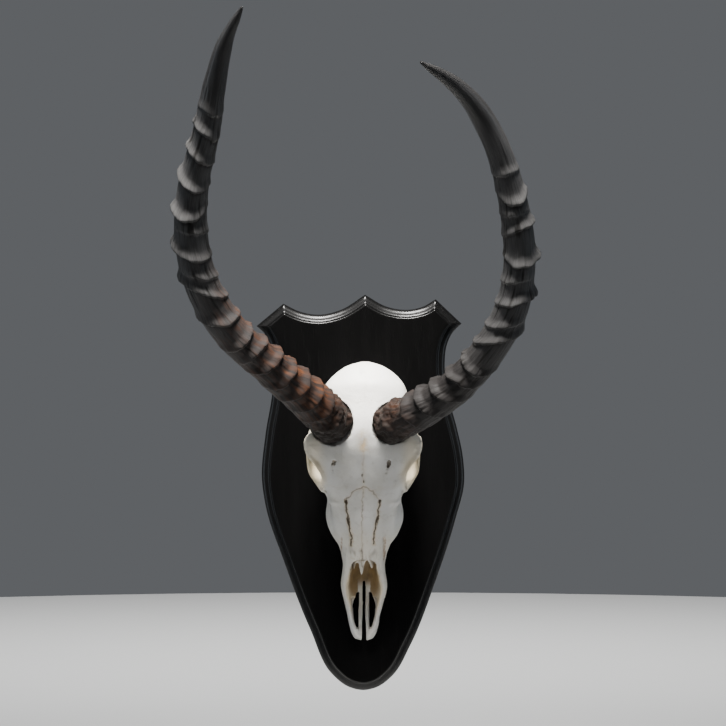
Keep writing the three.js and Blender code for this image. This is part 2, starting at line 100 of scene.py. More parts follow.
def ripple(points, size, seed=0):
    """Smooth noise from -1 to 1 in lumps of the given size: random numbers eased between lattice points."""
    place = np.asarray(points, float) / size + np.array([3.7, 8.1, 5.3]) * (seed + 1)
    cell = np.floor(place).astype(int)
    part = place - cell
    part = part * part * (3 - 2 * part)
    total = np.zeros(place.shape[:-1])
    for corner in np.ndindex(2, 2, 2):
        weight = np.prod(np.where(corner, part, 1 - part), axis=-1)
        i, j, k = np.moveaxis((cell + corner) % NOISE_CELLS, -1, 0)
        total += weight * NOISE_BLOCK[i, j, k]
    return total


def ease(value, low, high):
    """0 below low and 1 above high, with a smooth S between them."""
    t = np.clip((value - low) / (high - low), 0.0, 1.0)
    return t * t * (3 - 2 * t)


def band(value, start, full, fade, end):
    """1 from full to fade and 0 outside start to end, with a smooth S on both sides."""
    return ease(value, start, full) * (1 - ease(value, fade, end))


def round_angles(count):
    """Angles spread evenly round a circle."""
    return np.arange(count) * 2 * np.pi / count


def ring_faces(rows, columns, first=0):
    """The four-sided faces of a grid of points whose rows are closed rings."""
    row, column = np.mgrid[0:rows - 1, 0:columns]
    here = row * columns + column
    beside = row * columns + (column + 1) % columns
    return first + np.stack([here, beside, beside + columns, here + columns], axis=-1).reshape(-1, 4)


def fan_faces(ring, middle):
    """Triangles from each edge of a ring of points to one middle point."""
    ring = np.asarray(ring)
    return np.column_stack([ring, np.roll(ring, -1), np.full(len(ring), middle)])


def tube_faces(rows, columns):
    """The faces of a tube of closed rings. Fans close its ends, to two points that follow the rings."""
    count = rows * columns
    start = fan_faces(np.arange(columns)[::-1], count)
    end = fan_faces(np.arange(count - columns, count), count + 1)
    return [ring_faces(rows, columns), np.concatenate([start, end])]


def outwards(vertices, faces):
    """The faces of a closed skin, turned so that they point out: their signed volume is positive."""
    volume = 0.0
    for sides in faces:
        for k in range(1, sides.shape[1] - 1):
            a, b, c = (vertices[sides[:, n]] for n in (0, k, k + 1))
            volume += np.einsum("ij,ij->", a, np.cross(b, c))
    return faces if volume > 0 else [sides[:, ::-1] for sides in faces]


def new_piece(name, vertices, faces, node, material, marks=None, sharp=None):
    """Makes one mesh object in the model's own place, which stands for a node and rides with it.

    vertices are in millimetres. faces is a list of arrays, one for each number of sides. marks are named
    numbers at the vertices, which the material reads. sharp is the angle from which an edge stays hard.
    """
    vertices = np.asarray(vertices, float)
    faces = outwards(vertices, faces)
    mesh = bpy.data.meshes.new(name)
    corners = np.concatenate([sides.ravel() for sides in faces]).astype(np.int32)
    counts = np.concatenate([np.full(len(sides), sides.shape[1]) for sides in faces])
    mesh.vertices.add(len(vertices))
    mesh.vertices.foreach_set("co", (vertices * MM).astype(np.float32).ravel())
    mesh.loops.add(len(corners))
    mesh.loops.foreach_set("vertex_index", corners)
    mesh.polygons.add(len(counts))
    mesh.polygons.foreach_set("loop_start", np.concatenate([[0], np.cumsum(counts)[:-1]]).astype(np.int32))
    mesh.update(calc_edges=True)
    mesh.validate()
    mesh.shade_smooth()
    if sharp:
        mesh.set_sharp_from_angle(angle=math.radians(sharp))
    for mark, values in (marks or {}).items():
        values = np.asarray(values, np.float32)
        kind, field = ("FLOAT_VECTOR", "vector") if values.ndim == 2 else ("FLOAT", "value")
        layer = mesh.attributes.new(mark, kind, "POINT")
        layer.data.foreach_set(field, values.ravel())
    mesh.materials.append(material)
    piece = bpy.data.objects.new(name, mesh)
    bpy.context.scene.collection.objects.link(piece)
    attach(piece, BODY)
    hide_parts(node)
    return piece


# Materials.

class Value:
    """A socket of a finish. A sum written with it adds the Math nodes that work it out."""

    def __init__(self, finish, socket):
        self.finish = finish
        self.socket = socket

    def __add__(self, other):
        return self.finish.sum("ADD", self, other)

    def __sub__(self, other):
        return self.finish.sum("SUBTRACT", self, other)

    def __rsub__(self, other):
        return self.finish.sum("SUBTRACT", other, self)

    def __mul__(self, other):
        return self.finish.sum("MULTIPLY", self, other)

    __radd__ = __add__
    __rmul__ = __mul__

    def between(self, low, high):
        """0 where the value is low and 1 where it is high, with a smooth S between."""
        return self.finish.node(
            "MapRange", {"interpolation_type": "SMOOTHSTEP"},
            {"Value": self, "From Min": low, "From Max": high}, "Result")


class Finish:
    """The nodes of one material, which ends in a Principled shader."""

    def __init__(self, name):
        self.material = bpy.data.materials.new(name)
        self.material.use_nodes = True
        self.tree = self.material.node_tree
        self.tree.nodes.clear()
        self.place = self.node("TexCoord", {}, {}, "Object")

    def node(self, kind, settings, inputs, output):
        """Adds a node, sets it, gives its sockets values or links and returns one of its outputs."""
        node = self.tree.nodes.new("ShaderNode" + kind)
        for setting, value in settings.items():
            setattr(node, setting, value)
        for name, value in inputs.items():
            if isinstance(value, Value):
                self.tree.links.new(value.socket, node.inputs[name])
            else:
                node.inputs[name].default_value = value
        return Value(self, node.outputs[output])

    def sum(self, operation, *values):
        """A Math node of the given operation on values or numbers."""
        return self.node("Math", {"operation": operation}, dict(enumerate(values)), 0)

    def mix(self, factor, first, second):
        """A colour between two colours."""
        colours = [c if isinstance(c, Value) else (*c, 1.0) for c in (first, second)]
        return self.node("Mix", {"data_type": "RGBA"}, {0: factor, 6: colours[0], 7: colours[1]}, 2)

    def mark(self, name):
        """A number that the piece's mesh holds at its vertices."""
        return self.node("Attribute", {"attribute_name": name}, {}, "Fac")

    def stretched(self, across, forward, up, place=None):
        """Coordinates, the object's own unless others are given, multiplied along each axis, so that a
        pattern is drawn out along the axes with small factors."""
        factors = {0: place or self.place, 1: (across, forward, up)}
        return self.node("VectorMath", {"operation": "MULTIPLY"}, factors, 0)

    def noise(self, size, detail=3.0, rough=0.55, place=None):
        """Noise of about 0 to 1 whose lumps are size millimetres across."""
        inputs = {"Vector": place or self.place, "Scale": 1 / (size * MM), "Detail": detail,
                  "Roughness": rough}
        return self.node("TexNoise", {}, inputs, "Fac")

    def cells(self, size):
        """Distance to the nearest of many scattered points, size millimetres apart."""
        inputs = {"Vector": self.place, "Scale": 1 / (size * MM)}
        return self.node("TexVoronoi", {"feature": "F1"}, inputs, "Distance")

    def relief(self, height, depth, below=None):
        """A normal bumped by a height of 0 to 1 that stands depth millimetres high."""
        inputs = {"Height": height, "Distance": depth * MM, "Strength": 1.0}
        if below:
            inputs["Normal"] = below
        return self.node("Bump", {}, inputs, "Normal")

    def shade(self, **inputs):
        """Ends the material in a Principled shader with the given inputs, named with _ for a space."""
        named = {name.replace("_", " "): value for name, value in inputs.items()}
        shader = self.node("BsdfPrincipled", {}, named, "BSDF")
        output = self.tree.nodes.new("ShaderNodeOutputMaterial")
        self.tree.links.new(shader.socket, output.inputs["Surface"])
        return self.material


# The skull, which is worked out as a field of distances.

class Form:
    """A shape in the skull's own millimetres: a function of across, height and up that gives the distance
    to its surface, negative inside, and the box that it stays in."""

    def __init__(self, distance, low, high):
        self.distance = distance
        self.low = np.array(low, float)
        self.high = np.array(high, float)


def bone(rows, along=2, power=2.2, tilt=0.0):
    """A bone carried along a path. At each place along one axis its section is a superellipse whose middle
    and half sizes change smoothly through the rows [across, height, up, half, half, share of the half
    width at its top]. tilt is how much it falls for each millimetre outwards."""
    rows = np.array([list(row) + [1.0] * (6 - len(row)) for row in rows], float)
    rows = rows[np.argsort(rows[:, along])]
    first, second = (axis for axis in range(3) if axis != along)
    table = rows[:, [along, first, second, 3, 4, 5]]

    def distance(*place):
        run = place[along]
        middle_1, middle_2, half_1, half_2, top = np.moveaxis(through(table, run), -1, 0)
        one = place[first] - middle_1
        two = place[second] - middle_2 + tilt * one
        half_1 = half_1 * (1 - (1 - top) * np.clip(two / half_2, 0, 1))
        reach = ((np.abs(one) / half_1) ** power + (np.abs(two) / half_2) ** power) ** (1 / power)
        from_middle = np.hypot(one, two)
        side = np.where(reach > 0.02, from_middle - from_middle / np.maximum(reach, 0.02),
                        -np.minimum(half_1, half_2))
        past = np.maximum(table[0, 0] - run, run - table[-1, 0])
        return np.minimum(np.maximum(side, past), 0) + np.hypot(np.maximum(side, 0), np.maximum(past, 0))

    half = np.zeros((len(rows), 3))
    half[:, first] = rows[:, 3]
    half[:, second] = rows[:, 4]
    half[:, 1] += abs(tilt) * rows[:, 3] if along != 1 else 0
    return Form(distance, (rows[:, :3] - half).min(axis=0), (rows[:, :3] + half).max(axis=0))


def rod(points, radius, end_radius=None, spacing=3.0):
    """A round rod along the smooth curve through points: the distance to the nearest stretch of it less
    the radius, which may change evenly from end to end."""
    path, _ = along_curve(points, spacing=spacing)
    radii = np.linspace(radius, radius if end_radius is None else end_radius, len(path))

    def distance(*place):
        place = np.stack(np.broadcast_arrays(*place), axis=-1)
        best = np.full(place.shape[:-1], np.inf)
        for start, end, r, next_r in zip(path[:-1], path[1:], radii[:-1], radii[1:]):
            line = end - start
            share = np.clip((place - start) @ line / (line @ line), 0, 1)
            off = np.linalg.norm(place - start - share[..., None] * line, axis=-1)
            best = np.minimum(best, off - r - share * (next_r - r))
        return best

    widest = radii.max()
    return Form(distance, path.min(axis=0) - widest, path.max(axis=0) + widest)


def ball(middle, halves):
    """An ellipsoid: its size-scaled radius less one, times the distance from the middle over that radius."""
    middle, halves = np.array(middle, float), np.array(halves, float)

    def distance(*place):
        off = np.stack(np.broadcast_arrays(*place), axis=-1) - middle
        reach = np.linalg.norm(off / halves, axis=-1)
        return np.linalg.norm(off, axis=-1) * (1 - 1 / np.maximum(reach, 0.05))

    return Form(distance, middle - halves, middle + halves)


def plate(outline, holes, half_thickness, height, rounding):
    """A plate seen from the front as a closed outline with holes, with rounded edges. Its middle is at
    height(across, up)."""
    outlines = [np.array(loop, float) for loop in (outline, *holes)]

    def flat_distance(across, up):
        across, up = np.broadcast_arrays(across, up)
        inside = np.zeros(across.shape, bool)
        best = np.full(across.shape, np.inf)
        for loop in outlines:
            for start, end in zip(loop, np.roll(loop, -1, axis=0)):
                line = end - start
                off = np.stack([across - start[0], up - start[1]], axis=-1)
                share = np.clip(off @ line / (line @ line), 0, 1)
                best = np.minimum(best, np.linalg.norm(off - share[..., None] * line, axis=-1))
                crosses = (start[1] > up) != (end[1] > up)
                with np.errstate(divide="ignore", invalid="ignore"):
                    crossing = start[0] + (up - start[1]) / (end[1] - start[1]) * (end[0] - start[0])
                inside ^= crosses & (across < crossing)
        return np.where(inside, -best, best)

    def distance(across, tall, up):
        flat = flat_distance(across, up) + rounding
        off = np.abs(tall - height(across, up)) - half_thickness + rounding
        outside = np.hypot(np.maximum(flat, 0), np.maximum(off, 0))
        return np.minimum(np.maximum(flat, off), 0) + outside - rounding

    flat_low, flat_high = outlines[0].min(axis=0), outlines[0].max(axis=0)
    corners = np.array([[a, height(a, u), u] for a in (flat_low[0], 0, flat_high[0])
                        for u in (flat_low[1], flat_high[1])])
    return Form(distance, corners.min(axis=0) - half_thickness, corners.max(axis=0) + half_thickness)


def blended(first, second, blend):
    """The lower of two distances, with a rounded hollow of the blend's width where they meet."""
    share = np.clip(0.5 + 0.5 * (second - first) / blend, 0, 1)
    return second + (first - second) * share - blend * share * (1 - share)


class Lattice:
    """Distances to a surface at the points of a block of cubes, negative inside the bone."""

    FAR = 60.0

    def __init__(self, low, high, step):
        self.low = np.array(low, float)
        self.step = step
        size = np.ceil((np.array(high) - self.low) / step).astype(int) + 1
        self.value = np.full(size, self.FAR)

    def near(self, form, margin):
        """The part of the block round a form and the form's distances there, in even millimetres."""
        first = np.maximum(np.floor((form.low - margin - self.low) / self.step).astype(int), 0)
        last = np.ceil((form.high + margin - self.low) / self.step).astype(int) + 1
        last = np.minimum(last, self.value.shape)
        part = tuple(slice(a, b) for a, b in zip(first, last))
        axes = [low + self.step * np.arange(a, b) for low, a, b in zip(self.low, first, last)]
        distance = form.distance(*np.meshgrid(*axes, indexing="ij", sparse=True))
        slope = np.sqrt(sum(side ** 2 for side in np.gradient(distance, self.step)))
        return part, distance / np.clip(slope, 0.6, 3.0)

    def add(self, form, blend):
        """Joins a form on, with a rounded hollow of the blend's width where it meets the bone."""
        part, distance = self.near(form, 2 * blend + 2 * self.step)
        self.value[part] = blended(self.value[part], distance, blend)

    def cut(self, form, blend):
        """Takes a form away, with an edge rounded by the blend's width."""
        part, distance = self.near(form, 2 * blend + 2 * self.step)
        self.value[part] = -blended(-self.value[part], distance, blend)

    def sample(self, places):
        """The distance at any places and its slope there, evenly between the block's points."""
        where = (places - self.low) / self.step
        cell = np.clip(np.floor(where).astype(int), 0, np.array(self.value.shape) - 2)
        t = where - cell
        value = np.zeros(len(places))
        slope = np.zeros((len(places), 3))
        for corner in np.ndindex(2, 2, 2):
            corner = np.array(corner)
            at_corner = self.value[tuple((cell + corner).T)]
            weight = np.where(corner, t, 1 - t)
            value += at_corner * weight.prod(axis=-1)
            for axis in range(3):
                others = np.delete(weight, axis, axis=1).prod(axis=-1)
                slope[:, axis] += at_corner * others * (2 * corner[axis] - 1) / self.step
        return value, slope

    def skin(self):
        """The surface where the distance is 0: a point in each cube that it crosses, at the middle of the
        crossings of the cube's edges, and a four-sided face round each edge of the block that it crosses."""
        inside = self.value < 0
        corners = [np.array(corner) for corner in np.ndindex(2, 2, 2)]
        size = np.array(self.value.shape) - 1
        count = sum(inside[tuple(slice(c, c + n) for c, n in zip(corner, size))].astype(np.int8)
                    for corner in corners)
        cubes = np.argwhere((count > 0) & (count < 8))
        index = np.full(size, -1)
        index[tuple(cubes.T)] = np.arange(len(cubes))
        total = np.zeros((len(cubes), 3))
        crossings = np.zeros(len(cubes))
        for start in corners:
            for axis in np.flatnonzero(start == 0):
                end = start.copy()
                end[axis] = 1
                a = self.value[tuple((cubes + start).T)]
                b = self.value[tuple((cubes + end).T)]
                crossed = (a < 0) != (b < 0)
                share = np.where(crossed, a / np.where(crossed, a - b, 1), 0)
                total += np.where(crossed[:, None], start + share[:, None] * (end - start), 0)
                crossings += crossed
        points = self.low + self.step * (cubes + total / crossings[:, None])
        faces = []
        for axis in range(3):
            first, second = (a for a in range(3) if a != axis)
            edge = np.diff(inside.astype(np.int8), axis=axis)
            places = np.argwhere(edge)
            places = places[(places[:, first] > 0) & (places[:, second] > 0)]
            sign = edge[tuple(places.T)]
            round_edge = []
            for back_1, back_2 in ((0, 0), (1, 0), (1, 1), (0, 1)):
                cube = places.copy()
                cube[:, first] -= back_1
                cube[:, second] -= back_2
                round_edge.append(index[tuple(cube.T)])
            quads = np.stack(round_edge, axis=-1)
            turned = (sign > 0) == (axis == 1)
            quads[turned] = quads[turned][:, ::-1]
            faces.append(quads)
        return points, np.concatenate(faces)


def mirrored(form):
    """A form on both sides of the skull's middle, from the one on its right."""
    high = form.high
    low = np.array([-high[0], *form.low[1:]])
    return Form(lambda across, height, up: form.distance(np.abs(across), height, up), low, high)


# Middle of the skull: [up, height of its top, height of its underside, half width, share of it at the top].
CRANIUM = [
    (96, 88, 34, 26, 1.0), (84, 96, 35, 30, 1.0), (70, 99, 36, 29, 1.0), (54, 97, 34, 26, 1.0),
    (38, 92, 28, 24, 0.95), (20, 83.5, 20, 26, 0.85), (6, 76.5, 16, 32, 0.72), (-8, 70.5, 14, 37, 0.62),
    (-22, 64.5, 13, 38.2, 0.6), (-38, 58, 13, 33, 0.64), (-50, 53, 13, 25.3, 0.76),
    (-62, 48.5, 13, 21.7, 0.84), (-76, 42, 13, 21.1, 0.9), (-90, 33, 12.5, 23, 0.85),
    (-102, 25, 12, 20.5, 0.8),
]
BRAINCASE = [
    (0, 60, 131.8, 5, 6), (0, 61, 129, 14.5, 13), (0, 61.5, 124, 24, 20), (0, 62, 118, 31.5, 25),
    (0, 63, 111, 37.3, 28.5), (0, 63.5, 103, 41, 30), (0, 64, 94, 42.5, 31), (0, 66, 76, 35, 28),
]
NUCHAL_CREST = [
    (-42, 40, 92, 8, 6), (-36, 44, 102, 8, 5), (-20, 48, 116.5, 9, 4.5), (0, 50, 124.5, 10, 4.5),
    (20, 48, 116.5, 9, 4.5), (36, 44, 102, 8, 5), (42, 40, 92, 8, 6),
]
BRAINCASE_FLOOR = [
    (0, 30, 127, 15, 14), (0, 31, 112, 24, 14), (0, 27, 96, 16, 10), (0, 28, 68, 12, 10),
    (0, 27, 42, 14, 8),
]
BROW = [
    (26, 85, 78, 12, 7), (29, 87, 64, 21, 8), (32, 86.5, 52, 25, 8), (31, 84.5, 43, 24, 7.5),
    (27, 81.5, 34, 20, 7.5), (22, 77, 23, 17, 7.5), (21.5, 71, 11, 16, 7.5), (20, 61, -6, 13, 7),
    (19, 52, -22, 11, 6), (17, 42, -38, 8, 5),
]
ORBIT_RIM = [
    (54, 84.5, 53), (52.5, 85, 42), (46, 83, 33), (40.5, 79, 24), (38.5, 72, 15), (39, 63, 8.5),
    (41, 54, 6.5), (45, 47.5, 12), (49.5, 44, 22), (52.5, 44, 33), (53.5, 48, 43), (54, 57, 49.5),
    (54.5, 70, 53), (54.5, 80, 54),
]
CHEEK_ARCH = [
    (29, 52, -5, 6, 14), (34, 49, 4, 5, 13), (38.5, 45, 11, 6, 10), (45.5, 42.5, 20, 7, 8.5),
    (50, 41.5, 34, 5.5, 7.5), (52, 41, 48, 4, 6), (51, 41, 62, 3.2, 5), (45, 41.5, 78, 3.5, 5),
    (36, 43, 92, 5, 6),
]
BAR_BEHIND_EYE = [(45, 87, 55, 8, 7), (52.5, 76, 55, 4, 6), (53, 60, 52, 3.2, 5), (51, 42, 49, 3.5, 6)]
TOOTH_RIDGE = [
    (22, 15, -34, 5, 8), (24, 17, -20, 8, 9), (28, 18, 8, 9, 10), (28, 19, 34, 8.5, 10),
    (25, 24, 46, 4, 8),
]
PAROCCIPITAL = [(34, 44, 101, 7, 7), (31.5, 28, 106, 6, 6), (28, 12, 106, 4, 4.5), (25, 1.6, 104, 2, 2)]
NOSE_HOLE = [
    (0, 33, -48, 8, 9), (0, 33, -62, 11, 13), (0, 40, -73, 12.5, 24), (0, 40, -83, 15, 25),
    (0, 40, -92, 17.2, 25.5), (0, 38, -101, 16, 25.5), (0, 36, -109, 13, 25), (0, 34, -117, 11, 25),
    (0, 32, -125, 9, 24), (0, 30, -132, 6.6, 23), (0, 28, -139, 3, 22),
]
# The two bars of bone beside the nose, down to the muzzle's end, and the two thin ones along its middle.
NOSE_SIDES = [
    (16.6, 22, -70, 3.6, 15), (17.8, 19, -80, 4.1, 14), (18.2, 17, -88, 4.2, 13.4),
    (17.4, 15, -97, 4.2, 12), (15.7, 12.8, -108, 3.6, 9.8), (13.7, 10.6, -119, 2.8, 7.8),
    (11.8, 8.8, -130, 2.6, 6), (8.8, 7, -139, 2.8, 4.6), (6.4, 6, -144, 2.6, 3.4),
]
NOSE_SIDE_SLITS = [
    (6.2, 8, -97, 0.6, 10), (6.9, 8, -102, 1.4, 10), (8, 8, -108, 2.6, 9), (8.4, 8, -113, 2.8, 8),
]
NOSE_FLOOR_BARS = [
    (3, 12.5, -84, 2.1, 2.4), (3.1, 11, -98, 2.2, 3), (3.1, 8.6, -112, 2.2, 3.6),
    (3.2, 6.6, -126, 2.3, 3.6), (3.3, 5.4, -138, 2.4, 3.2), (3.4, 5, -144, 2.3, 2.8),
]
PALATE_HOLLOW = [
    (0, 6, -52, 8, 7), (0, 8, -20, 13, 11), (0, 9, 20, 17, 12), (0, 18, 46, 9, 12), (0, 24, 62, 6, 8),
]
NASALS = [
    (-12, -38), (-13, -58), (-11.6, -67), (-9.6, -74.2), (-7.9, -68), (-6, -64.4), (-4.6, -72),
    (-2.2, -80.6), (-0.6, -74), (1, -66), (3.2, -62.6), (5.4, -67.5), (7.6, -73.6), (9.6, -68.5),
    (12, -60), (12, -38),
]
MUZZLE_SIDE = [
    (3, -146.2), (8.6, -143.6), (12.2, -138.5), (14, -131), (16, -120), (18.8, -108.5), (21.4, -96),
    (21, -84),
]
MUZZLE_SLIT = [
    (5.7, -96), (7.4, -101.5), (9.4, -107), (10.9, -113), (11.2, -119), (9.6, -126), (7.2, -132.5),
    (6.1, -134.6), (5.6, -128), (5.4, -116), (5.5, -105),
]
NOSE_CLEFT = [
    (0, 20, -150, 2.1, 30), (0.1, 20, -138, 1.5, 30), (0, 20, -122, 1.15, 30), (-0.4, 20, -114, 0.9, 30),
    (0.5, 20, -108, 0.75, 30), (-0.2, 14, -103, 0.8, 14), (0, 13, -96, 1.1, 12), (0, 13, -86, 0.9, 9),
]
# How far the skull's middle leans to the right at each place up.
LEAN = [
    (-146, 0.3), (-120, 0.3), (-95, 0.5), (-78, 0.3), (-60, 0.5), (-40, 1.0), (0, 0.6), (30, -0.3),
    (60, -0.4), (100, 1.0), (132, 1.3),
]
# The seams between the bones of the face, seen from the front: [across, up].
SEAMS = {
    "forehead": [(0.2, 66), (0.6, 58), (-0.7, 49), (0.7, 41), (-0.6, 32), (0.3, 22), (-0.8, 11.5)],
    "nasals_top_left": [(-1.1, 11.6), (-3.5, 8.9), (-6.6, 8.6), (-10.7, 5.6), (-13.5, 1.2), (-17.6, -1.4)],
    "nasals_top_right": [(-1.1, 11.6), (1.8, 10.4), (5.7, 7.4), (8.2, 6.4), (10.8, 2.6), (14.8, -1.6)],
    "between_nasals": [(-1.2, 9), (-2, -12), (-2.8, -32), (-2.4, -51), (-2.2, -70)],
    "beside_nasal_left": [(-18.2, -1.4), (-17.4, -12), (-15.8, -25), (-14.9, -31), (-13.6, -37),
                          (-12.8, -48)],
    "beside_nasal_right": [(15, -2), (12.8, -18.5), (12.2, -22.4), (10.8, -28.2), (9.8, -34), (8.8, -47)],
    "cheek_left": [(-18.2, -1.4), (-24, -3.5), (-30, -2.5), (-36, 1)],
    "cheek_right": [(15, -2), (21, -4), (28, -3), (34, 0.5)],
    "brow_left": [(-8, 8.4), (-16, 11), (-25, 10), (-34, 12)],
    "brow_right": [(8.5, 5.5), (16, 9.6), (24, 9.2), (33, 11.5)],
    "crown_left": [(0, 93), (-9, 92), (-17, 95), (-26, 101), (-34, 104)],
    "crown_right": [(0, 93), (8, 94), (16, 93.5), (25, 99), (33, 103)],
    "crown_middle": [(0.3, 93), (-0.6, 102), (0.5, 112), (-0.2, 122)],
}
# How dark and deep each seam is.
SEAM_STRENGTH = {
    "forehead": 0.24, "nasals_top_left": 0.5, "nasals_top_right": 0.42, "between_nasals": 0.4,
    "beside_nasal_left": 1.0, "beside_nasal_right": 1.0, "cheek_left": 0.1, "cheek_right": 0.1,
    "brow_left": 0.14, "brow_right": 0.14, "crown_left": 0.16, "crown_right": 0.16, "crown_middle": 0.12,
}
# Holes and slits cut into the face from the front: [points (across, up), radius, how deep the axis lies].
FACE_HOLES = [
    ([(-27.6, 36.6), (-28.8, 33.6)], 1.2, 1.2),
    ([(-28.8, 34), (-29.3, 30.5), (-29.5, 25.8)], 0.9, 0.0),
    ([(24.6, 36), (24.3, 32.8)], 1.2, 1.2),
    ([(24.2, 33), (23.4, 28), (21.4, 22.9)], 0.9, 0.0),
    ([(-18.4, -1.6), (-18, -4)], 1.2, 0.8),
    ([(14.9, -2.4), (14.6, -4.6)], 1.2, 0.8),
    ([(-16, -20.5), (-15.5, -26.5)], 1.0, 0.8),
    ([(12.4, -20), (11.4, -27)], 1.0, 0.8),
    ([(18.6, -41), (20.2, -48), (19.4, -61.5)], 1.6, 1.0),
    ([(-22.9, -41), (-22.1, -54.8)], 0.8, 0.5),
    ([(-1.4, 22.2), (-1.4, 21.6)], 0.8, 0.4),
    ([(0.3, 16.4), (0.3, 15.8)], 0.8, 0.4),
]


# The middle of the right orbit, and how far it is stained cream: [all of it to here, none from here].
ORBIT = (50, 63.5, 30)
ORBIT_STAIN = (18, 27)
# The painted shadow in and beside the two long slits of the cheeks: [across, up, all dark to here, clear
# from here].
SLIT_SHADOWS = [(19.6, -52, 0.9, 2.2), (-22.5, -48, 0.5, 1.3)]
# How far from the middle the two thin bars of the muzzle reach.
MIDDLE_BARS_REACH = 6.3
# The mesh is finer this near a seam of the face, and all over the muzzle below this place.
FINE_BY_SEAM = 2.6
FINE_BELOW = -56
# How far a horn reaches into its seat, and how deep the seat is.
HORN_SEATED = 3.2
SEAT_DEPTH = 3.3


def lean(up):
    """How far the skull's middle leans to the right at a place up."""
    return through(LEAN, up)[..., 0]


def to_skull(points):
    """The model's own places in the skull's: across from its leaning middle, over the board, and up."""
    points = np.asarray(points, float)
    across = points[..., 0] - SKULL_X - lean(points[..., 2])
    return np.stack([across, -points[..., 1] - BOARD_FRONT, points[..., 2]], axis=-1)


def from_skull(points):
    """The skull's own places in the model's."""
    across = points[..., 0] + SKULL_X + lean(points[..., 2])
    return np.stack([across, -points[..., 1] - BOARD_FRONT, points[..., 2]], axis=-1)


def front_height(block, across, up):
    """How high the bone stands in front at a place across and up: the last crossing of its column."""
    i, k = (np.rint((value - low) / block.step).astype(int)
            for value, low in ((across, block.low[0]), (up, block.low[2])))
    columns = block.value[i, :, k]
    row = columns.shape[-1] - 1 - np.argmax(columns[:, ::-1] < 0, axis=-1)
    inner = np.take_along_axis(columns, row[:, None], axis=1)[:, 0]
    outer = np.take_along_axis(columns, row[:, None] + 1, axis=1)[:, 0]
    return block.low[1] + block.step * (row + inner / (inner - outer))


def horn_foot(horn):
    """A horn's curve at the skull's own places, and its direction at the foot."""
    curve = to_skull(along_curve(horn["curve"], spacing=2.0)[0])
    return curve, (curve[1] - curve[0]) / np.linalg.norm(curve[1] - curve[0])


def horn_seat(horn):
    """The room that a horn's lower end takes in the bone: a round rod with a flat end."""
    curve, line = horn_foot(horn)
    start = curve[0] - SEAT_DEPTH * line
    radius = horn["girth"] * HORN_GIRTH[0][1] + 0.2
    tube = rod([start, *curve[4:24:4]], radius, radius * 0.9)

    def distance(*place):
        before = (np.stack(np.broadcast_arrays(*place), axis=-1) - start) @ line
        return np.maximum(tube.distance(*place), -before)

    return Form(distance, tube.low, tube.high)


def pedicle(horn):
    """The stump of bone under a horn: a rod that narrows upwards along the horn's first direction."""
    curve, line = horn_foot(horn)
    return rod([curve[0] - 24 * line, curve[0] - 8 * line, curve[0]], 23.5, 17)


def nose_cavity():
    """The opening of the nose, widest under the nasal bones and narrow at the muzzle's end."""
    return bone(NOSE_HOLE, power=2.3)


def nasal_roof(across, up):
    """Height of the middle of the two nasal bones' free ends, which roof the nose."""
    return 44.3 + (up + 60) * 0.42 - across ** 2 * 0.06


def muzzle_height(across, up):
    """Height of the middle of the flat muzzle, which rises from its end and falls to its sides."""
    return 5.6 + (up + 146) * 0.10 - np.abs(across) * 0.08


def skull_block(step):
    """The skull's field: its bones joined with rounded hollows, then its openings cut."""
    block = Lattice((-63, 0.4, -151), (63, 110, 137), step)
    middle = [(0, (top + under) / 2, up, half, (top - under) / 2, share)
              for up, top, under, half, share in CRANIUM]
    block.add(bone(middle, power=2.5), 0.1)
    block.add(bone(BRAINCASE, power=2.15), 8)
    block.add(bone(NUCHAL_CREST, along=0), 7)
    block.add(bone(BRAINCASE_FLOOR), 6)
    block.add(mirrored(bone(BROW, power=2.6, tilt=0.14)), 7)
    block.add(mirrored(bone(CHEEK_ARCH)), 5)
    block.add(mirrored(bone(BAR_BEHIND_EYE, along=1)), 4)
    block.add(mirrored(bone(TOOTH_RIDGE)), 5)
    block.add(mirrored(ball((12.5, 21, 116.5), (9, 12, 10))), 5)
    block.add(mirrored(ball((21, 24, 92), (7.5, 11, 11))), 4)
    block.add(mirrored(ball((37, 37, 97), (7, 5, 5))), 4)
    block.add(mirrored(bone(PAROCCIPITAL, along=1)), 5)
    for horn in HORNS.values():
        block.add(pedicle(horn), 7)
    block.cut(mirrored(ball(ORBIT, (24, 17.5, 19))), 3)
    block.add(mirrored(rod(ORBIT_RIM, 2.0)), 3.5)
    edge = [*MUZZLE_SIDE, *((-across, up) for across, up in reversed(MUZZLE_SIDE))]
    slits = [MUZZLE_SLIT, [(-across, up) for across, up in MUZZLE_SLIT]]
    slits = [rounded_loop(slit) for slit in slits]
    block.add(plate(rounded_loop(edge), slits, 2.8, muzzle_height, 2.2), 3)
    block.add(mirrored(bone(NOSE_SIDES)), 2.5)
    block.cut(nose_cavity(), 1.5)
    block.cut(mirrored(bone(NOSE_SIDE_SLITS)), 1.5)
    block.add(mirrored(bone(NOSE_FLOOR_BARS)), 0.8)
    block.cut(bone(NOSE_CLEFT, power=8), 0.6)
    block.cut(bone(PALATE_HOLLOW), 3)
    block.cut(mirrored(tooth_trough()), 0.6)
    block.add(plate(NASALS, [], 2.2, nasal_roof, 1.2), 1.5)
    block.cut(rod([(0, 12, 126), (0, 48, 124)], 9), 2)
    block.cut(mirrored(rod([(31, 30, -54), (19, 30, -38)], 2.2)), 1.5)
    block.cut(mirrored(rod([(30, 60, 40), (17, 58, 47)], 3)), 1.5)
    block.cut(mirrored(rod([(47, 36, 97), (30, 36, 97)], 2.6)), 1.5)
    for points, radius, depth in FACE_HOLES:
        points = np.array(points, float)
        height = front_height(block, points[:, 0], points[:, 1]) - depth
        block.cut(rod(np.column_stack([points[:, 0], height, points[:, 1]]), radius), 0.6)
    for horn in HORNS.values():
        block.cut(horn_seat(horn), 1)
    return block


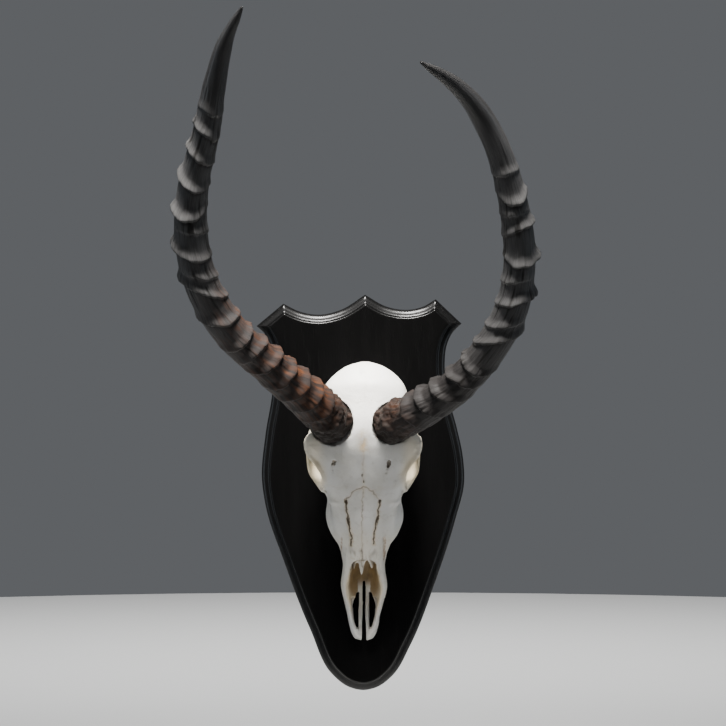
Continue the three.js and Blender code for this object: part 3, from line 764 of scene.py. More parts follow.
def rounded_loop(points):
    """A closed outline through given points, drawn as the smooth curve through them."""
    around = [*points[-3:], *points, *points[:3]]
    path, _ = along_curve(around, spacing=1.2)
    first = np.argmin(np.linalg.norm(path[: len(path) // 2] - points[0], axis=1))
    last = len(path) // 2 + np.argmin(np.linalg.norm(path[len(path) // 2:] - points[0], axis=1))
    return path[first:last]


def refined(points, quads, chosen):
    """The faces with each chosen one split in four. Its neighbours take the new points on their edges."""
    ends = np.stack([quads, np.roll(quads, -1, axis=1)], axis=-1)
    keys = ends.min(axis=-1) * len(points) + ends.max(axis=-1)
    split = np.unique(keys[chosen])
    midpoints = (points[split // len(points)] + points[split % len(points)]) / 2
    found = np.minimum(np.searchsorted(split, keys), len(split) - 1)
    middles = np.where(split[found] == keys, len(points) + found, -1)
    centres = points[quads[chosen]].mean(axis=1)
    centre = len(points) + len(split) + np.arange(len(centres))
    inner = middles[chosen]
    fours = [np.stack([quads[chosen][:, k], inner[:, k], centre, inner[:, k - 1]], axis=1) for k in range(4)]
    around = np.stack([quads, middles], axis=-1).reshape(-1, 8)[~chosen]
    sides = (around >= 0).sum(axis=1)
    faces = [np.concatenate(fours)]
    for count in np.unique(sides):
        rows = around[sides == count]
        faces.append(rows[rows >= 0].reshape(-1, count))
    return np.concatenate([points, midpoints, centres]), faces


def seam_distance(points):
    """How near each point is, seen from the front, to a seam: (distance, strength of the nearest seam).

    The seams meander: the point is moved by two sizes of noise before its distance to their lines is taken.
    """
    waves = ((3.2, 0.9, 1), (3.2, 0.9, 2), (1.3, 0.45, 3), (1.3, 0.45, 4))
    wander = np.stack([ripple(points, size, seed) * far for size, far, seed in waves])
    flat = points[:, [0, 2]] + np.stack([wander[0] + wander[2], wander[1] + wander[3]], axis=-1)
    nearest = np.full(len(points), 99.0)
    strength = np.zeros(len(points))
    for name, line in SEAMS.items():
        path, _ = along_curve(line, spacing=1.5)
        for start, end in zip(path[:-1], path[1:]):
            step = end - start
            share = np.clip((flat - start) @ step / (step @ step), 0, 1)
            off = np.linalg.norm(flat - start - share[:, None] * step, axis=1)
            strength = np.where(off < nearest, SEAM_STRENGTH[name], strength)
            nearest = np.minimum(nearest, off)
    return nearest, strength


def skull_skin(step, seam_depth):
    """The skull's surface and its marks: the field's skin, made finer at the seams and edges of the face,
    drawn onto the surface, then pressed in along the seams and by faint lumps of two sizes."""
    block = skull_block(step)
    points, quads = block.skin()
    middles = points[quads].mean(axis=1)
    _, slope = block.sample(middles)
    front = (slope[:, 1] > 0.2) & (middles[:, 1] > 20)
    near_seam = front & (seam_distance(middles)[0] < FINE_BY_SEAM)
    muzzle = (middles[:, 2] < FINE_BELOW) & (slope[:, 1] > -0.2) & (np.abs(middles[:, 0]) < 24)
    points, faces = refined(points, quads, near_seam | muzzle)
    for _ in range(3):
        value, slope = block.sample(points)
        steep = np.linalg.norm(slope, axis=1)
        points -= np.clip(value / np.maximum(steep, 0.3), -0.5, 0.5)[:, None] * slope / steep[:, None]
    normals = slope / steep[:, None]
    across, height, up = points.T
    nearest, strength = seam_distance(points)
    strength = strength * ease(normals[:, 1], 0.1, 0.35) * ease(height, 15, 25)
    seam = strength * (1 - ease(nearest, 0.3, 1.0))
    seam_side = strength * (1 - ease(nearest, 0.5, 3.0))
    lumps = 0.35 * ripple(points, 15, 5) + 0.14 * ripple(points, 5, 6)
    brow = ease(np.abs(across), 42, 50) * ease(up, 32, 42) * ease(height, 66, 74)
    lumps += 0.45 * brow * ripple(points * (0.5, 1, 1.3), 2.4, 14)
    snout = band(-up, 36, 52, 84, 94) * (normals[:, 1] > 0.2)
    lumps += 0.3 * snout * ripple(points * (1, 1, 0.12), 2.2, 15)
    points = points + normals * (lumps - 0.3 - seam_depth * seam - 0.12 * seam_side)[:, None]
    marks = {"seam": seam, "seam_side": seam_side, **skull_marks(block, points, normals)}
    return from_skull(points), faces, marks


def skull_marks(block, points, normals):
    """The marks of the bone's stains, hollows and painted light, each from 0 to 1. They fade between two
    places, or between two distances from an opening. A place is closed in as far as the field a little way
    out is still low. The hollow and pit marks are painted shade there, the crown mark is painted light on
    the top of the skull, and the nose mark is partly the nose's own brown and partly painted shade."""
    across, height, up = points.T
    side, down = np.abs(across), -up
    on_bars = side < MIDDLE_BARS_REACH
    # How closed in the bone is here, which the hollow mark paints as shade.
    near, far = (block.sample(points + reach * normals)[0] / reach for reach in (3.0, 8.0))
    closed_in = np.clip(1 - (near * 0.6 + far * 0.4), 0, 1)
    nose = nose_cavity().distance(*(points + normals * 1.5).T)
    under_roof = ease(nasal_roof(across, up) + 0.5 - height, -0.5, 1.5)
    under_roof = np.where((side < 12.5) & (up > -82), under_roof, 1)
    front_top = np.interp(up, *np.array(CRANIUM)[::-1, :2].T)
    brown = (1 - ease(nose, -1.2, 0.4)) * ease(front_top - height, 3, 12) * under_roof
    orbit = np.sqrt((side - ORBIT[0]) ** 2 + (height - ORBIT[1]) ** 2 + (up - ORBIT[2]) ** 2)
    brow = ease(side, 38, 48) * ease(up, 32, 46) * ease(height, 68, 78)
    forehead = np.exp(-(across / 4.5) ** 2) * band(up, 42, 50, 60, 72)
    midline = np.exp(-(across / 2.2) ** 2) * band(up, 0, 12, 50, 66)
    return {
        # Painted shade: browner where the bone is closed in, less on the middle bars of the muzzle.
        "hollow": closed_in * (1 - 0.9 * ease(down, 90, 102) * on_bars),
        # Partly the nose's own brown and partly painted shade, deeper in and under the nasal bones.
        "nose": brown * np.where(on_bars, 1 - ease(down, 83, 95), 1 - 0.9 * ease(down, 92, 116)),
        # The inner walls of the nose opening: partly tan bone and partly painted shade.
        "nose_rim": (1 - ease(nose, 0.5, 4.5)) * band(down, 62, 80, 112, 136) * ease(side, 6.5, 9),
        # Painted shadow in and beside the two long slits of the cheeks.
        "slit": sum(1 - ease(np.hypot(across - middle, 0.12 * (up - place)), dark, clear)
                    for middle, place, dark, clear in SLIT_SHADOWS),
        "orbit": 1 - ease(orbit, *ORBIT_STAIN),
        # Painted light: lighter over the top of the skull and the tops of the brows.
        "crown": np.maximum(ease(up, 46, 84), 0.7 * brow),
        # Painted shade: near black in the small pits and holes, where the bone a little way out is still
        # close.
        "pit": np.clip(1 - block.sample(points + 1.4 * normals)[0] / 1.4, 0, 1),
        "tan": forehead + 0.4 * midline,
        "snout": band(down, 22, 50, 100, 125),
        "side": ease(side, 33, 47) * ease(up, -20, 10),
    }


# The horns.

# Each horn: its side, the share that its radii have of HORN_GIRTH, how far along it the ridges end, the
# share of its length that is brown and the curve through its middle. Then its ridges: [place on the outer
# side, place on the inner side, share of the full height outside, how far it sags to the base in front].
HORNS = {
    "horn_left": {
        "side": -1, "girth": 1.0, "ridges_end": 400, "red_end": 0.55,
        "curve": [
            (-27, -105, 71), (-52, -144, 96), (-87, -179, 127), (-122, -206, 160), (-146, -228, 201),
            (-155, -248, 246), (-151, -266, 292), (-139, -286, 333), (-129, -310, 376), (-119, -333, 408),
            (-103, -356, 435),
        ],
        "ridges": [
            (30, 26, 1, 3), (47, 42, 1, 3), (65, 59, 1, 3), (83, 78, 1, 3), (103, 97, 1, 3),
            (128, 115, 1, 3), (142, 135, 0, 0), (160, 158, 1, 4), (194, 178, 1, 4), (232, 200, 1, 1),
            (241, 225, 0, 0), (264, 249, 1, 6.5), (279, 274, 0, 0), (296, 299, 1, 10), (327, 320, 1, 8),
            (353, 343, 1, 2), (377, 366, 1, 1), (394, 390, 0.6, 1),
        ],
    },
    "horn_right": {
        "side": 1, "girth": 0.95, "ridges_end": 345, "red_end": 0.13,
        "curve": [
            (24.5, -105, 71), (49, -139, 83), (85, -169, 107), (113, -192, 138), (137, -216, 184),
            (142, -235, 228), (135, -254, 274), (118, -278, 325), (95, -301, 360), (79, -315, 374),
            (49, -341, 390),
        ],
        "ridges": [
            (27, 24, 1, 3), (53, 49, 1, 3), (75, 64, 1, 3), (103, 83, 1, 4), (121, 106, 0, 0),
            (139, 131, 1, 6), (182, 151, 1, 0), (195, 174, 0, 0), (217, 200, 1, 0), (234, 225, 0, 0),
            (251, 252, 1, 7), (282, 273, 1, -2), (294, 295, 0, 0), (312, 316, 1, 10), (332, 334, 0.5, 0),
        ],
    },
}
# Radius of a horn between its ridges: [share of its length, radius].
HORN_GIRTH = [
    (0, 21.3), (0.12, 19), (0.25, 17.2), (0.4, 16.7), (0.57, 15.2), (0.72, 12.9), (0.83, 10.7),
    (0.91, 7.8), (0.97, 4.2), (1, 1.2),
]
# How far the crests stand up: [share of the ridged length, outer side, inner side].
RIDGE_RISE = [
    (0, 0.8, 1.9), (0.1, 0.6, 3.8), (0.2, 0.5, 4.4), (0.33, 0.5, 3.8), (0.43, 1, 2.5), (0.53, 3.3, 1.8),
    (0.65, 5.5, 1.5), (0.74, 5.2, 1.3), (0.82, 3.8, 1.2), (0.93, 2.6, 0.9), (1, 0.3, 0.3), (1.5, 0, 0),
]


# How long the rounding of a horn's tip is, and the radius at which its furrows have their real width.
HORN_TIP = 1.6
FURROW_RADIUS = 19


def horn_frame(horn, run, length):
    """The middle of a horn at each place along its curve, with the directions of its outer side and front
    there, both square to the curve."""
    share = np.clip(run / length, 0, 1)
    path, _ = along_curve(horn["curve"], share)
    knots = np.linspace(0, 1, 40)
    bends = np.gradient(along_curve(horn["curve"], knots)[0], axis=0)
    tangent = through(np.column_stack([knots, bends]), share)
    tangent /= np.linalg.norm(tangent, axis=1)[:, None]
    path += tangent * np.minimum(run, 0)[:, None]
    outward = np.cross(tangent, (0, -1, 0)) * horn["side"]
    outward /= np.linalg.norm(outward, axis=1)[:, None]
    return path, outward, np.cross(outward, tangent) * horn["side"]


def horn_ridges(horn, run, around, place):
    """The height of a horn's ridges and the marks on them. Each ridge is a crest line that runs askew round
    the tube, steep towards the base and long and hollow towards the tip. The highest ridge counts. The marks
    paint light on each crest's lip and on the slope above it, and shadow just under the lip."""
    outer_share = (1 + around[:, 0]) / 2
    facing = np.maximum(around[:, 1], 0) ** 2
    outer_rise, inner_rise = (
        np.interp(run / horn["ridges_end"], *np.transpose(RIDGE_RISE)[[0, k]])[:, None] for k in (1, 2))
    side_rise = 2.0 * around[:, 1] ** 2 * np.minimum(1, inner_rise)
    height = np.zeros((len(run), len(around)))
    crest, slope, painted_lip_shadow = (np.zeros_like(height) for _ in range(3))
    for k, (outer, inner, strength, sag) in enumerate(horn["ridges"]):
        ring = place * (1, 1, 0) + (0, 0, 31 * k)
        line = inner + (outer - inner) * outer_share - sag * facing
        line = line + 1.6 * ripple(ring, 9, k)
        line = line + 0.7 * ripple(ring, 3, k + 60)
        off = run[:, None] - line
        later = [row for row in horn["ridges"][k + 1:] if row[2]] or [(outer + 30, inner + 30)]
        room = later[0][1] - inner + (later[0][0] - outer - later[0][1] + inner) * outer_share
        long = np.clip(0.75 * room, 7, 11) + 1.5 * ripple(ring, 14, k + 20)
        up = np.clip(1 - off / long, 0, 1)
        shape = np.where(off < 0, ease(off, -3.4, 0), 0.8 * (1 - ease(off, -0.6, 0.8 * long)) + 0.2 * up)
        broken = 1 - 0.3 * ease(ripple(ring, 7, k + 40), 0, 0.8)
        rise = outer_rise * strength * outer_share + inner_rise * (1 - outer_share) + side_rise
        ridge = shape * broken * rise
        top = ridge > height
        # Painted highlight on each crest's lip.
        lip = (1 - ease(np.abs(off - 1.6), 1.4, 3.6)) * np.minimum(1, ridge / 1.2)
        crest = np.where(top, lip, crest)
        # Painted shadow just under each crest's lip.
        painted_lip_shadow = np.maximum(painted_lip_shadow, np.exp(-((off + 3.4) / 1.5) ** 2) * strength * broken)
        # Painted light on the slope above each crest, which faces up.
        slope = np.where(top, np.where(off > 0, up ** 1.4, 0), slope)
        height = np.maximum(height, ridge)
    return height, {"crest": crest, "slope": slope, "painted_lip_shadow": painted_lip_shadow}


def horn_skin(horn, rows, columns, ridge_share):
    """A horn's surface and marks: a tapering tube round its curve with its ridges on it. Lumps cover the
    base, and fine furrows run along the whole of it."""
    _, length = along_curve(horn["curve"])
    run = np.concatenate([np.linspace(-HORN_SEATED, -0.4, 8), np.linspace(0, length - HORN_TIP, rows),
                          length - HORN_TIP * (1 - np.sin(np.linspace(0.2, np.pi / 2, 6)))])
    path, outward, front = horn_frame(horn, run, length)
    angle = round_angles(columns)
    around = np.stack([np.cos(angle), np.sin(angle)], axis=-1)
    place = np.empty((len(run), columns, 3))
    place[..., :2] = around * FURROW_RADIUS
    place[..., 2] = run[:, None]
    height, marks = horn_ridges(horn, run, around, place)

    low_down = 1 - ease(run, 18, 55)
    ridged = (1 - ease(run / horn["ridges_end"], 0.93, 1.12))[:, None]
    furrows = ripple(place * (1, 1, 0.06), 1.5, 7) + 0.7 * ripple(place * (1, 1, 0.1), 0.8, 8)
    lumps = ripple(place, 5.5, 9) * 1.7 + ripple(place * (1, 1, 1.4), 2.6, 10) * 1.0
    cracks = ease(ripple(place * (1, 1, 0.16), 3.4, 12), 0.35, 0.7)
    height = height * ridge_share + low_down[:, None] * (lumps - 0.5)
    height = height + (0.22 * furrows - 0.16) * (0.2 + 0.8 * ridged) - 0.4 * cracks * ridged
    height = height + 0.5 * (1 - ease(run, 60, 190))[:, None] * ripple(place * (1, 1, 0.7), 4.5, 13)
    height = height + 0.35 * ripple(place, 22, 11) - 0.35

    radius = horn["girth"] * np.interp(run / length, *np.transpose(HORN_GIRTH))
    radius *= np.interp(run, (-HORN_SEATED, -1, 4, 12), (0.8, 0.96, 1.03, 1.0))
    rounding = np.sqrt(np.clip((length - run) / HORN_TIP, 0, 1))
    radius = (radius[:, None] + height * np.minimum(1, radius / 6)[:, None]) * rounding[:, None]
    radius = np.maximum(radius, 0.02)
    points = (path[:, None] + outward[:, None] * (radius * around[:, 0])[..., None]
              + front[:, None] * (radius * around[:, 1])[..., None])

    red = 1 - ease(run / length, 0.4 * horn["red_end"], horn["red_end"])
    marks["red"] = red[:, None] * (1 - 0.7 * (1 + around[:, 0]) / 2)
    marks["crack"] = cracks * ridged
    # The low mark is painted shade over the lower horn.
    for name, values in (("low", 1 - ease(run, 90, 230)), ("base", low_down),
                         ("tip", ease(run / length, 0.74, 0.84))):
        marks[name] = np.repeat(values, columns)
    marks = {name: np.append(values.ravel(), values.ravel()[[0, -1]]) for name, values in marks.items()}
    marks["grain"] = np.concatenate([place.reshape(-1, 3), [(0, 0, run[0]), (0, 0, run[-1])]]) * MM
    points = np.concatenate([points.reshape(-1, 3), path[[0, -1]]])
    return points, tube_faces(len(run), columns), marks


# The board.

# The outline as stretches between its corners, seen from the front: [across, up].
BOARD_STRETCHES = [
    [(99, 170), (90, 161), (84, 148), (82, 130), (85, 100), (94, 66), (100, 38), (101.5, 10), (93, -26),
     (72, -91), (48, -152), (30, -183), (14, -195), (0, -198), (-16, -194), (-31, -182), (-53, -137),
     (-79, -70), (-98, -12), (-101.5, 14), (-98, 58), (-91, 102), (-90, 130), (-93, 148), (-99, 160),
     (-107, 167.5)],
    [(-107, 167.5), (-80, 190)],
    [(-80, 190), (-63, 182), (-44, 179), (-22, 184), (2, 199)],
    [(2, 199), (24, 187), (46, 184), (60, 187), (73, 194.5)],
    [(73, 194.5), (84, 184), (99, 170)],
]
# The board's edge from its back to its front: [how far in from the outline, how far forward].
BOARD_EDGE = [
    (1.4, 0), (0.8, 0.05), (0.2, 0.35), (0, 0.8), (0, 10.2), (0.1, 10.8), (0.45, 11.6), (1.0, 12.4),
    (1.6, 13.0), (2.3, 13.6), (3.1, 14.1), (3.9, 14.5), (4.8, 14.8), (5.6, 15.05), (6.2, 15.3),
    (6.9, 15.7), (7.4, 16.3), (7.7, 17.0), (7.85, 17.8), (8.0, 18.6), (8.3, 19.3), (8.8, 19.75),
    (9.5, 19.95), (10.4, 20.0),
]
BOARD_THICKNESS = 20.0
SCREW_PLACES = {"screw_upper": 98, "screw_lower": 12}
# The hole for a screw, turned about its axis from the board's back: [radius, how far forward].
SCREW_HOLE = [(5.35, 0), (5.35, 1.0), (2.75, 3.6), (2.75, 19.6)]
HOLE_SIDES = 32


def board_ring(inset, counts):
    """The board's outline moved in by a distance and cut again at the lines that halve its corners."""
    loops = []
    paths = [along_curve(stretch, spacing=0.5)[0] for stretch in BOARD_STRETCHES]
    for k, (path, count) in enumerate(zip(paths, counts)):
        line = np.gradient(path, axis=0)
        line /= np.linalg.norm(line, axis=1)[:, None]
        inward = np.stack([line[:, 1], -line[:, 0]], axis=-1)
        moved = path + inward * inset
        cuts = []
        for corner, other, here in ((path[0], paths[k - 1][-2], path[1]),
                                    (path[-1], paths[(k + 1) % len(paths)][1], path[-2])):
            to_other = (other - corner) / np.linalg.norm(other - corner)
            to_here = (here - corner) / np.linalg.norm(here - corner)
            halving = (to_here - to_other) / np.linalg.norm(to_here - to_other)
            cuts.append((moved - corner) @ halving)
        half = len(moved) // 2
        places = np.arange(len(moved), dtype=float)
        first = np.interp(0, cuts[0][:half], places[:half])
        last = np.interp(0, cuts[1][half:][::-1], places[half:][::-1])
        at = np.linspace(first, last, count + 1)[:-1]
        loops.append(np.stack([np.interp(at, places, column) for column in moved.T], axis=-1))
    return np.concatenate(loops)


def board_skin():
    """The board's edge as rings, one for each step of its moulding, a flat front and a back with two
    countersunk holes."""
    counts = [max(8, round(along_curve(stretch)[1] / 1.6)) for stretch in BOARD_STRETCHES]
    rings = []
    for inset, forward in BOARD_EDGE:
        ring = board_ring(inset, counts)
        rings.append(np.column_stack([ring[:, 0], np.full(len(ring), -forward), ring[:, 1]]))
    columns = len(rings[0])
    middle = len(rings) * columns
    points = [np.concatenate(rings), [(0, -BOARD_THICKNESS, 60)]]
    quads = [ring_faces(len(rings), columns)]
    triangles = [fan_faces(np.arange(middle - columns, middle), middle)]
    back = [np.arange(columns)]
    first = middle + 1
    angle = round_angles(HOLE_SIDES)
    for up in SCREW_PLACES.values():
        for radius, forward in SCREW_HOLE:
            points.append(np.column_stack([radius * np.cos(angle), np.full(HOLE_SIDES, -forward),
                                           up + radius * np.sin(angle)]))
        end = first + len(SCREW_HOLE) * HOLE_SIDES
        points.append([(0, -SCREW_HOLE[-1][1], up)])
        quads.append(ring_faces(len(SCREW_HOLE), HOLE_SIDES, first)[:, ::-1])
        triangles.append(fan_faces(np.arange(end - HOLE_SIDES, end)[::-1], end))
        back.append(np.arange(first, first + HOLE_SIDES))
        first = end + 1
    points = np.concatenate(points)
    flat = [[(points[n, 0], points[n, 2], 0.0) for n in loop] for loop in back]
    cap = np.concatenate(back)[np.array(tessellate_polygon(flat))]
    return points, [np.concatenate(quads), *triangles, cap]


# The teeth and screws.

# The teeth of one row from its front: [name, length along the row, width across it].
TEETH = [
    ("premolar_2", 7.5, 7.5), ("premolar_3", 8.5, 9.5), ("premolar_4", 9, 11), ("molar_1", 12, 13),
    ("molar_2", 14, 13.5), ("molar_3", 14.5, 12.5),
]
TOOTH_ROW_FRONT = -27
TOOTH_GAP = 0.35
TOOTH_ROOT = 21
TOOTH_SIDES = 72
# A tooth's ribbed section, in halves of its width and length.
TOOTH_OUTLINE = [
    (0.72, -1), (1, -0.78), (0.66, -0.45), (0.95, 0), (0.66, 0.45), (1, 0.8), (0.72, 1), (-0.35, 1),
    (-0.95, 0.62), (-0.6, 0.05), (-1, -0.5), (-0.4, -1),
]

SCREW_SIDES = 64
SCREW_LENGTH = 56
SCREW_POINT = 6
SCREW_CORE = 2.3
SCREW_PITCH = 2.1


def tooth_places():
    """The teeth of one row: (name, length, width, middle along the row, middle across). The row bows
    outwards as part of a sine."""
    row = sum(length for _, length, _ in TEETH)
    front = TOOTH_ROW_FRONT
    for name, length, width in TEETH:
        middle = front + length / 2
        bow = math.sin(0.62 * math.pi * (middle - TOOTH_ROW_FRONT) / row)
        yield name, length, width, middle, 23.5 + 5 * bow
        front += length


def tooth_trough():
    """The socket of a row of teeth: a plate-shaped hollow, half a millimetre wider than each tooth on both
    sides."""
    sides = [(across + way * (width / 2 + 0.5), middle + end * (length / 2 - 0.4), way)
             for _, length, width, middle, across in tooth_places() for end in (-1, 1) for way in (-1, 1)]
    edge = [(x, z) for x, z, way in sides if way > 0] + [(x, z) for x, z, way in sides if way < 0][::-1]
    return plate(edge, [], 11.5, lambda across, up: 10.2 + 0 * up, 0.5)


def tooth_skin(length, width, middle, across, side):
    """A tooth: rings of its ribbed outline from the root down to the chewing face, then rings inwards on
    that face, which is hollow between the rim and two crescents of enamel."""
    outline = rounded_loop([(x * width / 2, z * (length - 0.3) / 2) for x, z in TOOTH_OUTLINE])
    spread = np.linspace(0, len(outline), TOOTH_SIDES + 1)[:-1]
    closed = np.vstack([outline, outline[:1]])
    loop = np.stack([np.interp(spread, np.arange(len(closed)), column) for column in closed.T], axis=-1)
    wall = [(0.9, TOOTH_ROOT), (0.94, 17), (0.975, 12), (0.99, 7), (1.0, 3), (0.995, 1.3), (0.97, 0.7)]
    inwards = (0.93, 0.88, 0.82, 0.75, 0.67, 0.58, 0.5, 0.42, 0.34, 0.26, 0.18, 0.1)
    face = [(share, None) for share in inwards]
    rings = []
    for share, height in wall + face:
        ring = loop * share
        if height is None:
            rim = ease(share, 0.8, 0.92)
            lobes = np.cos(ring[:, 1] / length * 4 * np.pi) * 0.5 + 0.5
            crescent = (1 - ease(abs(share - 0.5), 0.05, 0.14)) * lobes
            height = TOOTH_GAP + 1.1 * (1 - np.maximum(rim, crescent)) + 0.5 * (1 - rim) * lobes
            height = height + 0.5 * ease(np.abs(ring[:, 0]) / width, 0, 0.3) * (1 - rim)
        rings.append(np.column_stack([ring[:, 0], np.broadcast_to(height, len(ring)), ring[:, 1]]))
    rings = np.stack(rings)
    rings[1:len(wall), :, 0] += 0.12 * ripple(rings, 2.2, 3)[1:len(wall)]
    ends = [(0, TOOTH_ROOT, 0), (0, rings[-1][:, 1].mean(), 0)]
    points = np.concatenate([rings.reshape(-1, 3), ends])
    places = np.column_stack([SKULL_X + side * (across + points[:, 0]), -(points[:, 1] + BOARD_FRONT),
                              middle + points[:, 2]])
    marks = {"level": np.clip((points[:, 1] - TOOTH_GAP) / 2, 0, 1), "root": ease(points[:, 1], 9, 16)}
    return places, tube_faces(len(rings), TOOTH_SIDES), marks


def screw_skin(up):
    """A countersunk wood screw turned about its axis: a flat head with a cross recess, a cone, a plain neck,
    then a thread that winds round a core to the point."""
    angle = round_angles(SCREW_SIDES)
    head = [(radius, 0.6) for radius in np.linspace(0.15, 4.6, 22)]
    head += [(4.85, 0.66), (5.0, 0.85), (5.0, 1.0), (4.9, 1.15), (2.75, 3.3), (2.4, 3.75),
             (SCREW_CORE, 5), (SCREW_CORE, 16)]
    shank = []
    for depth in np.linspace(16.2, SCREW_LENGTH - 0.2, 150):
        rest = SCREW_LENGTH - depth
        shank.append((SCREW_CORE if rest > SCREW_POINT else SCREW_CORE * rest / SCREW_POINT + 0.1, depth))
    radius, depth = np.array(head + shank).T
    turn = (depth[:, None] / SCREW_PITCH - angle / (2 * np.pi)) % 1
    crest = 1 - np.minimum(1, np.abs(turn - 0.5) * 2.6)
    threaded = ease(depth, 16.5, 19)[:, None]
    around = radius[:, None] * (1 - 0.26 * threaded * (1 - crest))
    x, z = around * np.cos(angle), around * np.sin(angle)
    narrow, wide = np.minimum(np.abs(x), np.abs(z)), np.maximum(np.abs(x), np.abs(z))
    recess = (1 - ease(narrow, 0.45, 0.75)) * (1 - ease(wide, 1.9, 2.6)) * 1.9
    recess = np.maximum(recess, (1 - ease(np.hypot(x, z), 0.6, 1.5)) * 2.2) * (depth[:, None] < 0.63)
    points = np.stack([x, -(depth[:, None] + recess), up + z], axis=-1).reshape(-1, 3)
    points = np.concatenate([points, [(0, -(0.6 + recess[0].max()), up), (0, -SCREW_LENGTH, up)]])
    return points, tube_faces(len(radius), SCREW_SIDES)


# The finishes.

def bone_finish(settings):
    """Dry bone: off-white with warmer clouds, dark seams, brown nose with painted shade inside it, cream
    round the eyes, fine pores, painted light on the crown and painted shade in the recesses and pits.
    """
    finish = Finish("bone")
    clouds = finish.noise(26, detail=4)
    spots = finish.noise(7, detail=5, rough=0.65)
    streaks = finish.noise(2.4, detail=4, rough=0.7, place=finish.stretched(1, 1, 0.12))
    grain = finish.noise(1.6, detail=3)
    seam, side, hollow = finish.mark("seam"), finish.mark("seam_side"), finish.mark("hollow")
    nose, orbit, flank = finish.mark("nose"), finish.mark("orbit"), finish.mark("side")
    colour = finish.mix(clouds.between(0.35, 0.7) * 0.5, settings.bone_colour, settings.warm_colour)
    colour = finish.mix(spots.between(0.5, 0.78) * 0.35, colour, (0.22, 0.195, 0.155))
    # Painted light on the crown.
    colour = finish.mix(finish.mark("crown") * 0.7, colour, (0.80, 0.78, 0.73))
    colour = finish.mix(finish.mark("snout") * 0.4, colour, (0.46, 0.42, 0.33))
    colour = finish.mix(finish.mark("snout") * streaks.between(0.5, 0.75) * 0.55, colour, (0.26, 0.20, 0.13))
    colour = finish.mix(flank * 0.55 + orbit * 0.45, colour, settings.cream_colour)
    # Tan inside the rim of the nose opening, partly its own colour and partly painted shade.
    colour = finish.mix(finish.mark("nose_rim") * 0.6, colour, (0.40, 0.30, 0.16))
    # Painted shadow in the slits of the cheeks, broken up by streaks.
    colour = finish.mix(finish.mark("slit") * streaks.between(0.3, 0.6) * 0.8, colour, (0.16, 0.08, 0.03))
    # Painted shade in the recesses: browner where the bone is closed in.
    colour = finish.mix(hollow.between(0.25, 0.95) * 0.65, colour, (0.30, 0.225, 0.14))
    pores = 1 - finish.cells(3.4).between(0.05, 0.16)
    speckle = pores * spots.between(0.5, 0.62)
    colour = finish.mix(speckle * 0.35, colour, (0.2, 0.14, 0.08))
    colour = finish.mix(side * 0.6, colour, (0.36, 0.28, 0.17))
    brown = finish.mix(spots, (0.085, 0.052, 0.017), (0.27, 0.175, 0.07))
    colour = finish.mix(finish.mark("tan") * spots.between(0.38, 0.62) * 0.6, colour, (0.42, 0.30, 0.16))
    # Inside the nose: partly its own brown and partly painted shade.
    colour = finish.mix(nose, colour, brown)
    # Painted shade in the pits and holes.
    colour = finish.mix(finish.mark("pit").between(0.35, 0.85) * 0.9, colour, (0.035, 0.024, 0.013))
    colour = finish.mix(seam.between(0.12, 0.75) * 0.92, colour, settings.seam_colour)
    rough = 0.52 + clouds * 0.1 + hollow * 0.15 - finish.mark("crown") * 0.04
    fine = finish.relief(grain, 0.10)
    pitted = finish.relief(1 - speckle, 0.25, fine)
    broad = finish.relief(finish.noise(4.5, detail=4), 0.30, pitted)
    return finish.shade(Base_Color=colour, Roughness=rough, Normal=broad, IOR=1.5)


def horn_finish(settings):
    """Horn: near-black and smooth at the tip, charcoal with painted grey highlights on the crests and the
    slopes above them, painted shadow under the crests' lips, painted shade over the lower horn, reddish
    brown between the lower ridges, with fine furrows that follow the horn."""
    finish = Finish("horn")
    grain = finish.node("Attribute", {"attribute_name": "grain"}, {}, "Vector")
    fibres = finish.noise(0.9, detail=4, rough=0.65, place=finish.stretched(1, 1, 0.06, grain))
    broad = finish.noise(3.2, detail=3, place=finish.stretched(1, 1, 0.14, grain))
    clouds = finish.noise(30, detail=3)
    crest, slope, painted_lip_shadow = finish.mark("crest"), finish.mark("slope"), finish.mark("painted_lip_shadow")
    base, tip, crack = finish.mark("base"), finish.mark("tip"), finish.mark("crack")
    red = finish.mark("red") * (0.3 + 0.7 * clouds.between(0.42, 0.6))
    colour = finish.mix(fibres.between(0.3, 0.75), (0.030, 0.0295, 0.0295), settings.horn_colour)
    # Painted light: lighter grey on the upper slopes.
    colour = finish.mix(slope * broad.between(0.35, 0.7) * 0.3, colour, (0.058, 0.056, 0.055))
    # Painted highlight: lighter grey on the crests.
    colour = finish.mix(crest * fibres.between(0.35, 0.6) * 0.35, colour, (0.085, 0.083, 0.081))
    # Painted shade: darker over the lower horn.
    colour = finish.mix(finish.mark("low") * 0.88, colour, (0.009, 0.0075, 0.007))
    colour = finish.mix(red * (0.15 + 0.85 * broad.between(0.4, 0.62)), colour, settings.red_colour)
    # Painted shadow under the lips of the crests.
    colour = finish.mix(painted_lip_shadow * 0.75, colour, (0.008, 0.007, 0.006))
    colour = finish.mix(base * (0.55 + 0.45 * clouds.between(0.35, 0.6)), colour, (0.008, 0.005, 0.0036))
    colour = finish.mix(crack * 0.7, colour, (0.006, 0.005, 0.004))
    colour = finish.mix(tip * 0.85, colour, (0.014, 0.0135, 0.0135))
    rough = 0.50 - tip * 0.2 + crest * 0.12 + (1 - fibres) * 0.12
    fine = finish.relief(fibres, 0.28)
    furrowed = finish.relief(broad, 0.5, fine)
    return finish.shade(Base_Color=colour, Roughness=rough, Normal=furrowed, Specular_IOR_Level=0.12,
                        Coat_Weight=tip * 0.2, Coat_Roughness=0.25)


